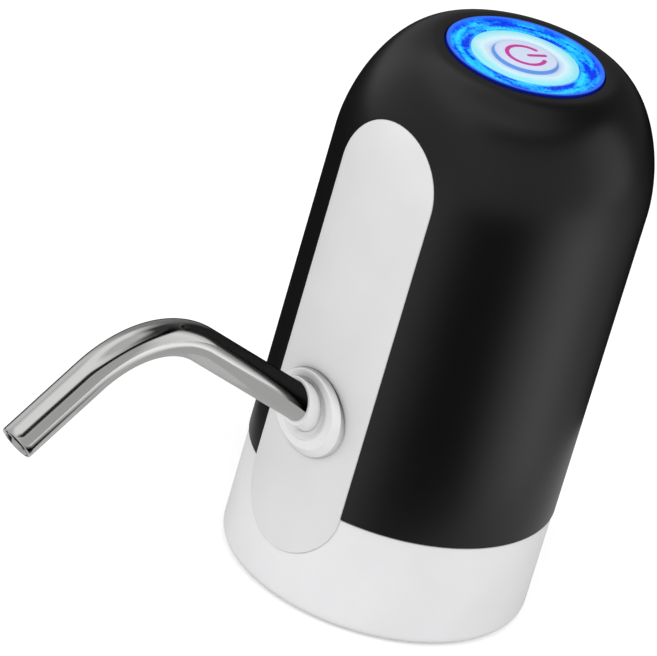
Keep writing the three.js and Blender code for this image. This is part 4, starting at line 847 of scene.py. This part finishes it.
shell_low = SEAM_Z + SEAM_GAP
outer = [(r, z) for z, r in wall_radii(0.0)[1:]]
inner = [(r, z) for z, r in wall_radii(SHELL_WALL, 24)[1:]]
wall_rows = [shell_low + (DOME_Z - shell_low) * k / 8 for k in range(1, 8)]
shell_outline = rounded([
    (BODY_R - SHELL_WALL, DOME_Z, 0), (BODY_R - SHELL_WALL, shell_low, 0.0002),
    (BODY_R, shell_low, 0.0002), (BODY_R, DOME_Z, 0)])[1:-1]
shell_outline += [(BODY_R, z) for z in wall_rows] + outer
shell_outline += rounded([
    (DOME_FLAT_R, HOUSING_TOP, 0), (RING_R + RING_SEAT_GAP, HOUSING_TOP, 0.0003),
    (RING_R + RING_SEAT_GAP, HOUSING_TOP - SHELL_WALL, 0)], 4)[1:]
shell_outline += inner[::-1]


def long_hole(name, half_span, radius, y_back, y_front, z_middle, steps=10):
    """A closed prism along Y with a flat-sided, round-ended section."""
    outline = []
    for side in (1, -1):
        for turn in [math.pi * k / steps for k in range(steps + 1)]:
            outline.append((side * half_span + radius * math.sin(turn) * side,
                            z_middle + radius * math.cos(turn) * side))
    mesh = bmesh.new()
    back = [mesh.verts.new((x, y_back, z)) for x, z in outline]
    front = [mesh.verts.new((x, y_front, z)) for x, z in outline]
    bridged(mesh, back, front)
    mesh.faces.new(back[::-1])
    mesh.faces.new(front)
    return closed_mesh(name, mesh)


def inlet_passage(radius, low, high):
    return spun("passage", [(0, low), (radius, low), (radius, high), (0, high)], 64, INLET)


slot = long_hole("slot", SLOT_HALF, SLOT_R, *SLOT_ENDS, USB_Z)
shell = carved(revolved("upper_shell", shell_outline),
               [panel_recess(), inlet_passage(PASSAGE_R, *PASSAGE_ENDS), slot])
black_abs = moulded("black_abs", (0.0038, 0.0038, 0.0040), 0.30, tint=0.06, relief=0.012)
placed("shell", true_to_wall(smoothed(shell)), black_abs, "housing", "black_shell", "upper_shell")


# Light board. A round green board under the button with six white LEDs and a push switch,
# held up by a grey cup that two screws draw against the shell's top.
led_lens = moulded("led_lens", (0.65, 0.78, 0.92), 0.25)
dressed(green_mask, "light_board")
dressed(led_lens, *("led_%d" % k for k in range(1, 7)))
dressed(black_nylon, "push_switch", "switch_plunger")
dressed(grey_abs, "board_holder")
dressed(plated_steel, "holder_screw_left", "holder_screw_right")


# Light ring. A clear moulded ring, lit blue from below: a plain rim outside that stands a little
# proud of the shell, and a floor of fine radial ridges that breaks the light into patches.
RING_FOOT = 0.1311
RING_FLANGE_R = 0.0206
RING_FLANGE_T = 0.003
RING_BORE_R = 0.0132
RING_WALL = 0.0016
RING_FLOOR = HOUSING_TOP - 0.0002
RIM_TOP = HOUSING_TOP + 0.0004
RIM_W = 0.0011
RIDGES = 90
RIDGE_H = 0.0001


def light_ring():
    flange_top = RING_FOOT + RING_FLANGE_T
    floor_ends = (RING_BORE_R + RING_WALL / 2, RING_R - RIM_W - 0.0009)
    inner_wall = RING_BORE_R + RING_WALL
    outline = rounded([
        (inner_wall, RING_FOOT, 0), (RING_FLANGE_R, RING_FOOT, 0),
        (RING_FLANGE_R, flange_top, 0), (RING_R, flange_top, 0),
        (RING_R, RIM_TOP, 0.0002), (RING_R - RIM_W, RIM_TOP, 0.0003),
        (RING_R - RIM_W, RING_FLOOR, 0)], 3)
    outline += [(floor_ends[1], RING_FLOOR), (inner_wall, RING_FLOOR), (floor_ends[0], RING_FLOOR)]
    outline += rounded([(floor_ends[0], RING_FLOOR, 0), (RING_BORE_R, RING_FLOOR, 0.0003),
                        (RING_BORE_R, flange_top, 0), (inner_wall, flange_top, 0)], 3)[1:]
    data = revolved("light_ring", outline, RIDGES * 4)
    for point in data.vertices:
        r = math.hypot(point.co.x, point.co.y - AXIS_Y)
        if abs(point.co.z - RING_FLOOR) < 1e-6 and floor_ends[0] - 1e-4 < r < floor_ends[1] + 1e-4:
            turn = math.atan2(point.co.y - AXIS_Y, point.co.x)
            point.co.z += RIDGE_H * (math.cos(turn * RIDGES) - 1)
    return data


def from_axis(tree, centre, along):
    """A point seen from the middle of a round piece with no height along its axis, and how far
    it lies from that axis."""
    place = add(tree, "Mapping", {"Vector": in_object(tree), "Location": centre, "Scale": along})
    return place, add(tree, "VectorMath", {0: place}, operation="LENGTH")


def scaled(tree, value, factor, more=0.0):
    return add(tree, "Math", {0: value, 1: factor, 2: more}, operation="MULTIPLY_ADD")


def lit_blue(name):
    """Clear plastic lit from below: cyan and deep blue patches, streaked along the radii."""
    material, tree = new_material(name)
    place, reach = from_axis(tree, (0, -AXIS_Y, 0), (1, 1, 0))
    split = add(tree, "SeparateXYZ", {0: place}).outputs
    turn = add(tree, "Math", {0: split["Y"], 1: split["X"]}, operation="ARCTAN2")

    def fanned(stretch_radius):
        return add(tree, "CombineXYZ", {"X": turn, "Y": scaled(tree, reach, stretch_radius)})

    patches = scaled(tree, noise(tree, fanned(250.0), 1.6), 1.7, -0.41)
    dashes = noise(tree, fanned(60.0), 16.0, 3.0)
    tone = graded(tree, scaled(tree, dashes, 0.55, patches), (
        (0.50, (0.000, 0.032, 0.60)), (0.61, (0.001, 0.090, 0.72)),
        (0.73, (0.004, 0.29, 0.84)), (0.93, (0.02, 0.50, 0.95))))
    for start, end, colour in ((RING_R - 0.0014, RING_R - 0.0008, (0.02, 0.12, 0.70, 1)),
                               (RING_R - 0.00022, RING_R - 0.00012, (0.001, 0.006, 0.20, 1))):
        tone = mixed(tree, between(tree, reach, start, end), tone, colour)
    principled(tree, {"Base Color": tone, "Emission Color": tone, "Emission Strength": 0.40,
                      "Specular IOR Level": 0.18, "Roughness": 0.22})
    return material


placed("light_ring_lens", smoothed(light_ring()), lit_blue("lit_blue"), "housing", "light_blue",
       "light_ring")


# Push button. A milky cap inside the ring, lit from below, with a low round pad raised in its
# middle, a skirt that keeps it in the ring and a stem that presses the switch.
CAP_R = 0.0129
CAP_BORE_R = 0.0116
CAP_CEILING = 0.1356
SKIRT_R = CAP_R + 0.0016
SKIRT_FOOT = 0.1324
SKIRT_TOP = 0.1338
STEM_R = 0.0022
STEM_FOOT = 0.1320
PAD_R = 0.0075
PAD_TOP = 0.13742
PAD_GROOVE = HOUSING_TOP - 0.00028
button_outline = [(0, STEM_FOOT)] + rounded([
    (0, STEM_FOOT, 0), (STEM_R, STEM_FOOT, 0.0002), (STEM_R, CAP_CEILING, 0.0002),
    (CAP_BORE_R, CAP_CEILING, 0.0003), (CAP_BORE_R, SKIRT_FOOT, 0),
    (SKIRT_R, SKIRT_FOOT, 0.0001), (SKIRT_R, SKIRT_TOP, 0.0001), (CAP_R, SKIRT_TOP, 0),
    (CAP_R, HOUSING_TOP, 0.0004), (PAD_R + 0.0022, HOUSING_TOP, 0.0010),
    (PAD_R + 0.00025, PAD_GROOVE, 0.0001), (PAD_R, PAD_TOP, 0.00016), (0.0, PAD_TOP, 0)])[1:]


def milky_cap(name):
    """Milky plastic over the LEDs: cyan at its edge, pale on the pad, with a blue band of painted
    shade in the pad's step.
    """
    material, tree = new_material(name)
    reach = from_axis(tree, (0, -AXIS_Y, 0), (1, 1, 0))[1]
    cloud = noise(tree, in_object(tree), 160.0)
    drift = scaled(tree, cloud, 0.0028, reach)
    milk = graded(tree, between(tree, drift, 0.0014, CAP_R + 0.0014), (
        (0.50, (0.62, 0.70, 0.86)), (0.58, (0.54, 0.66, 0.88)),
        (0.74, (0.66, 0.87, 0.95)), (0.95, (0.30, 0.80, 0.88))))
    # Painted shade: a blue band round the foot of the pad, from just inside its edge to about 0.6 mm
    # outside it.
    painted_step_shade = graded(tree, between(tree, reach, PAD_R - 0.0005, PAD_R + 0.0010), [
        (position, (share, share, share)) for position, share in (
            (0, 0), (0.22, 0.0), (0.33, 0.95), (0.55, 0.85), (0.72, 0.12), (1, 0))])
    tone = mixed(tree, painted_step_shade, milk, (0.06, 0.24, 0.66, 1))
    principled(tree, {"Base Color": tone, "Emission Color": tone, "Emission Strength": 0.12,
                      "Roughness": 0.25})
    return material


placed("push_button", smoothed(revolved("button_cap", button_outline)), milky_cap("milky_cap"),
       "button", "button_ice", "button_cap")


# Power sign. The common on-and-off sign, an open ring with a bar in its gap, inlaid in pink in
# the pad's top and turned with the cap.
SIGN_R = 0.0045
SIGN_HALF_LINE = 0.0005
SIGN_GAP = math.radians(34)
SIGN_UP = math.radians(72)
SIGN_TOP = 0.1375
SIGN_FOOT = PAD_TOP - 0.0001
SIGN_BAR = (0.0008, 0.0028, 0.0050)
SIGN_STEPS = 48


def stroke(mesh, centre_line, half, low, high, end_steps=6):
    """A flat closed band of even width along a line of points, with round ends."""
    first, last = centre_line[1] - centre_line[0], centre_line[-1] - centre_line[-2]

    def cap(place, heading, from_angle):
        base = math.atan2(heading.y, heading.x) + from_angle
        return [place + Vector((math.cos(base + math.pi * k / end_steps),
                                math.sin(base + math.pi * k / end_steps))) * half
                for k in range(1, end_steps)]

    left, right = [], []
    for i, place in enumerate(centre_line):
        ahead = centre_line[min(i + 1, len(centre_line) - 1)] - centre_line[max(i - 1, 0)]
        side = Vector((-ahead.y, ahead.x)).normalized() * half
        left.append(place + side)
        right.append(place - side)
    outline = right + cap(centre_line[-1], last, -math.pi / 2) + left[::-1]
    outline += cap(centre_line[0], first, math.pi / 2)
    rings = [[mesh.verts.new((p.x, p.y + AXIS_Y, z)) for p in outline] for z in (low, high)]
    bridged(mesh, *rings)
    count, ends = len(centre_line), end_steps - 1
    for ring in rings:
        others = ring[count + ends:2 * count + ends][::-1]
        for k in range(count - 1):
            mesh.faces.new((ring[k], ring[k + 1], others[k + 1], others[k]))
        mesh.faces.new([ring[count - 1]] + ring[count:count + ends] + [others[-1]])
        mesh.faces.new([others[0]] + ring[2 * count + ends:] + [ring[0]])


mesh = bmesh.new()
arc = [SIGN_UP + SIGN_GAP + (2 * math.pi - 2 * SIGN_GAP) * k / SIGN_STEPS
       for k in range(SIGN_STEPS + 1)]
up = Vector((math.cos(SIGN_UP), math.sin(SIGN_UP)))
for line in ([Vector((math.cos(a), math.sin(a))) * SIGN_R for a in arc],
             [up * reach for reach in SIGN_BAR]):
    stroke(mesh, line, SIGN_HALF_LINE, SIGN_FOOT, SIGN_TOP)
pink_ink = moulded("pink_inlay", (0.62, 0.04, 0.36), 0.3)
placed("power_sign", smoothed(closed_mesh("power_sign", mesh)), pink_ink, "button", "button_ice")


# Front panel. A thin off-white ABS trim, clipped flush into the recess of shell and base, with
# softly rounded edges. The spout's flange covers the hole in it.
PANEL_EDGE_R = 0.0003
panel = carved(stadium_plate("front_panel", 0.0, PANEL_T, 0.0, rounding=PANEL_EDGE_R),
               [inlet_passage(PASSAGE_R, *PASSAGE_ENDS)])
panel_abs = moulded("panel_abs", (0.70, 0.70, 0.705), 0.30)
trim = placed("trim_panel", smoothed(panel, 40), panel_abs, "housing", "panel_grey", "front_panel")
trim.visible_glossy = False


# Spout flange. A glossy white grommet seated on the panel, with a full rounded edge that slopes
# up along the spout and a low swell in its face. Its sleeve goes through the shell to the
# spout's socket.
FLANGE_R = 0.0107
FLANGE_WALL = 0.0006
FLANGE_EDGE = (0.0096, 0.0025)
FLANGE_SWELL = (0.0076, 0.0029)
FLANGE_MOUTH = (0.0061, 0.0024)
FLANGE_DROP = 0.0007
FLANGE_BACK = -0.003
SLEEVE_R = 0.0072
SLEEVE_ENDS = (-0.005, -0.0003)
SLEEVE_BORE_R = 0.00532
SLEEVE_BORE_ENDS = (-0.0055, 0.012)
slope = Matrix.Identity(4)
slope[2][1] = -math.tan(INLET_ANGLE)
FLANGE = (Matrix.Translation((0, AXIS_Y - BODY_R, INLET_Z - FLANGE_DROP)) @ slope
          @ Matrix.Rotation(math.pi / 2, 4, "X"))
flange_outline = [(0, FLANGE_BACK)] + rounded([
    (0, FLANGE_BACK, 0), (FLANGE_R, FLANGE_BACK, 0), (FLANGE_R, FLANGE_WALL, 0.0004),
    (*FLANGE_EDGE, 0.0005), (*FLANGE_SWELL, 0.0012), (*FLANGE_MOUTH, 0.0010),
    (0, FLANGE_MOUTH[1], 0)], 8)[1:]
seat = BODY_R + GAP
flange = carved(spun("spout_flange", flange_outline, 128, FLANGE),
                [revolved("wall", [(0, 0), (seat, 0), (seat, 0.13), (0, 0.13)])])
flange = carved(flange, [inlet_passage(SLEEVE_R, *SLEEVE_ENDS)], "UNION")
flange = carved(flange, [inlet_passage(SLEEVE_BORE_R, *SLEEVE_BORE_ENDS)])
grommet_white = moulded("grommet_white", (0.80, 0.80, 0.80), 0.26)
collar_white = grommet_white.copy()
collar_white.name = "collar_white"


def paint_crease_shade(material):
    """Paints shade into a white: darker in its creases, as ambient occlusion finds them, and darkest
    toward the flange's outer wall.
    """
    tree = material.node_tree
    shader = next(node for node in tree.nodes if node.type == "BSDF_PRINCIPLED")
    white = shader.inputs["Base Color"].links[0].from_socket
    occlusion_shade = add(tree, "AmbientOcclusion", {"Distance": 0.006}, samples=12)
    depth = graded(tree, occlusion_shade.outputs["AO"], ((0.50, (0.10, 0.10, 0.10)), (0.95, (1, 1, 1))))
    reach = from_axis(tree, (0, 0, -INLET_Z), (1, 0, 1))[1]
    wall = between(tree, reach, 0.0072, 0.0094)
    wall.inputs["To Min"].default_value = 0.35
    shaded = mixed(tree, wall, white, depth, "MULTIPLY")
    tree.links.new(shaded.outputs["Result"], shader.inputs["Base Color"])


# Painted shade on the flange's white: darker in its creases and on its outer wall.
paint_crease_shade(grommet_white)
grommet = placed("flange", smoothed(flange), grommet_white, "housing", "grommet_white",
                 "spout_flange")
grommet.visible_glossy = False


# Spout socket. The grey moulding behind the flange that the spout is pushed into, sealed by
# two rubber rings in its grooves.
dressed(grey_abs, "spout_socket")
dressed(black_rubber, "socket_o_ring_1", "socket_o_ring_2")


# Spout collar. A white moulded sleeve round the tube, which stands a little out of the flange and
# turns with the spout. Its front is cut level with the flange's face.
COLLAR_R = 0.0052
COLLAR_BORE_R = 0.00435
COLLAR_FOOT = -0.0073
COLLAR_FLANGE_R = 0.0063
COLLAR_FLANGE_T = 0.002
COLLAR_FRONT = 0.0070
COLLAR_REACH = 0.0006
collar_step = COLLAR_FOOT + COLLAR_FLANGE_T
collar_outline = rounded([
    (COLLAR_BORE_R, COLLAR_FOOT, 0.0002), (COLLAR_FLANGE_R, COLLAR_FOOT, 0.0003),
    (COLLAR_FLANGE_R, collar_step, 0.0002), (COLLAR_R, collar_step, 0),
    (COLLAR_R, COLLAR_FRONT, 0.0003), (COLLAR_BORE_R, COLLAR_FRONT, 0.0001)])
collar = spun("spout_collar", collar_outline, 96, INLET)
for point in collar.vertices:
    at = INLET.inverted() @ point.co
    if at.z > COLLAR_FRONT / 2:
        at.z += at.y * math.tan(INLET_ANGLE) + COLLAR_REACH
        point.co = INLET @ at
sleeve = placed("collar", smoothed(collar), collar_white, "collar", "grommet_white",
                "spout_collar")
sleeve.visible_glossy = False


# Spout. A polished stainless steel tube, bent once over a mandrel: a straight rise, the bend,
# and a straight drop to a square-cut mouth.
TUBE_R = 0.0043
TUBE_WALL = 0.00055
TUBE_LIP = 0.0002
TUBE_BURR = 0.0001
TUBE_SIDES = 48
TUBE_ROWS = 96
RISE = 0.0495
BEND_R = 0.029
BEND = math.radians(69.8)
DROP = 0.0225
PLUGGED = 0.0135
PLUG_LIP = 0.0003


def spout_line(s):
    """The centre and the cross direction of the tube, s metres out from the housing's wall."""
    if s <= RISE:
        return Vector((0, 0, s)), Vector((0, 1, 0))
    angle = min((s - RISE) / BEND_R, BEND)
    beyond = s - RISE - BEND_R * angle
    centre = Vector((0, -BEND_R * (1 - math.cos(angle)), RISE + BEND_R * math.sin(angle)))
    ahead = Vector((0, -math.sin(angle), math.cos(angle)))
    return centre + ahead * beyond, Vector((0, math.cos(angle), math.sin(angle)))


mouth = RISE + BEND_R * BEND + DROP
inside = TUBE_R - TUBE_WALL
first = PLUG_LIP - PLUGGED
runs = [first + (mouth - TUBE_LIP - first) * k / TUBE_ROWS for k in range(TUBE_ROWS + 1)]
sections = [(-PLUGGED, TUBE_R - TUBE_LIP)] + [(s, TUBE_R) for s in runs]
sections += [(mouth - TUBE_LIP * (1 - math.sin(a)), TUBE_R - TUBE_LIP * (1 - math.cos(a)))
             for a in (math.pi / 6, math.pi / 3, math.pi / 2)]
sections += [(mouth, inside + TUBE_BURR), (mouth - TUBE_BURR, inside)]
sections += [(s, inside) for s in runs[-2:0:-4]] + [(-PLUGGED, inside)]
mesh = bmesh.new()
uv_layer = mesh.loops.layers.uv.new("length")
loops = []
for s, radius in sections:
    centre, across = spout_line(s)
    loops.append([mesh.verts.new(INLET @ (centre + Vector((1, 0, 0)) * radius * math.cos(a)
                                          + across * radius * math.sin(a)))
                  for a in circle(TUBE_SIDES)])
for i in range(len(loops)):
    low, high = loops[i], loops[(i + 1) % len(loops)]
    for k in range(TUBE_SIDES):
        n = (k + 1) % TUBE_SIDES
        face = mesh.faces.new((low[k], low[n], high[n], high[k]))
        places = ((k, i), (k + 1, i), (k + 1, i + 1), (k, i + 1))
        for loop, (around, along) in zip(face.loops, places):
            s = sections[along % len(sections)][0]
            loop[uv_layer].uv = (around / TUBE_SIDES, s / mouth)


def polished_steel(name):
    """Stainless steel polished along the tube, with fine lengthwise lines and a faint haze."""
    material, tree = new_material(name)
    stretch = add(tree, "Mapping", {"Vector": add(tree, "UVMap", uv_map="length"),
                                    "Scale": (90.0, 3.0, 1.0)})
    lines = noise(tree, stretch, 1.0, 4.0)
    haze = noise(tree, in_object(tree), 60.0)
    gloss = between(tree, scaled(tree, haze, 0.4, lines), 0.4, 1.0)
    gloss.inputs["To Min"].default_value = 0.06
    gloss.inputs["To Max"].default_value = 0.12
    principled(tree, {
        "Metallic": 1.0,
        "Base Color": graded(tree, lines, ((0, (0.74, 0.735, 0.725)), (1, (0.83, 0.825, 0.815)))),
        "Roughness": gloss,
        "Normal": add(tree, "Bump", {"Height": lines, "Strength": 0.003, "Distance": 0.0001})})
    return material


placed("spout", smoothed(closed_mesh("spout_tube", mesh), 50), polished_steel("polished_steel"),
       "spout", "spout_steel", "spout_tube")


# Base screws. Four plated pan-head screws with a cross recess, put in from inside the well
# through the plate and the frame into the bosses of the shell.
HEAD_R = 0.0026
HEAD_TOP = 0.0228
HEAD_SEAT = 0.0245
SHANK_R = 0.0012
SHANK_END = 0.0386
RECESS_HALF = 0.0016
RECESS_HALF_W = 0.0003
RECESS_DEEP = 0.002
for number, place in enumerate(screw_places, 1):
    outline = rounded([(0, HEAD_TOP, 0), (HEAD_R, HEAD_TOP, 0.0008), (HEAD_R, HEAD_SEAT, 0.0001),
                       (SHANK_R, HEAD_SEAT, 0), (SHANK_R, SHANK_END, 0.0003), (0, SHANK_END, 0)])
    slots = []
    for wide, deep in ((RECESS_HALF, RECESS_HALF_W), (RECESS_HALF_W, RECESS_HALF)):
        mesh = bmesh.new()
        bmesh.ops.create_cube(mesh, size=1.0)
        middle = Matrix.Translation((place[0], place[1], HEAD_TOP))
        size = Matrix.Diagonal((2 * wide, 2 * deep, RECESS_DEEP, 1))
        bmesh.ops.transform(mesh, verts=mesh.verts, matrix=middle @ size)
        slots.append(closed_mesh("recess", mesh))
    screw = carved(revolved("screw", outline, 40, place), slots)
    placed("screw_%d" % number, smoothed(screw), plated_steel, "housing", "plain_steel",
           "base_screw_%d" % number)
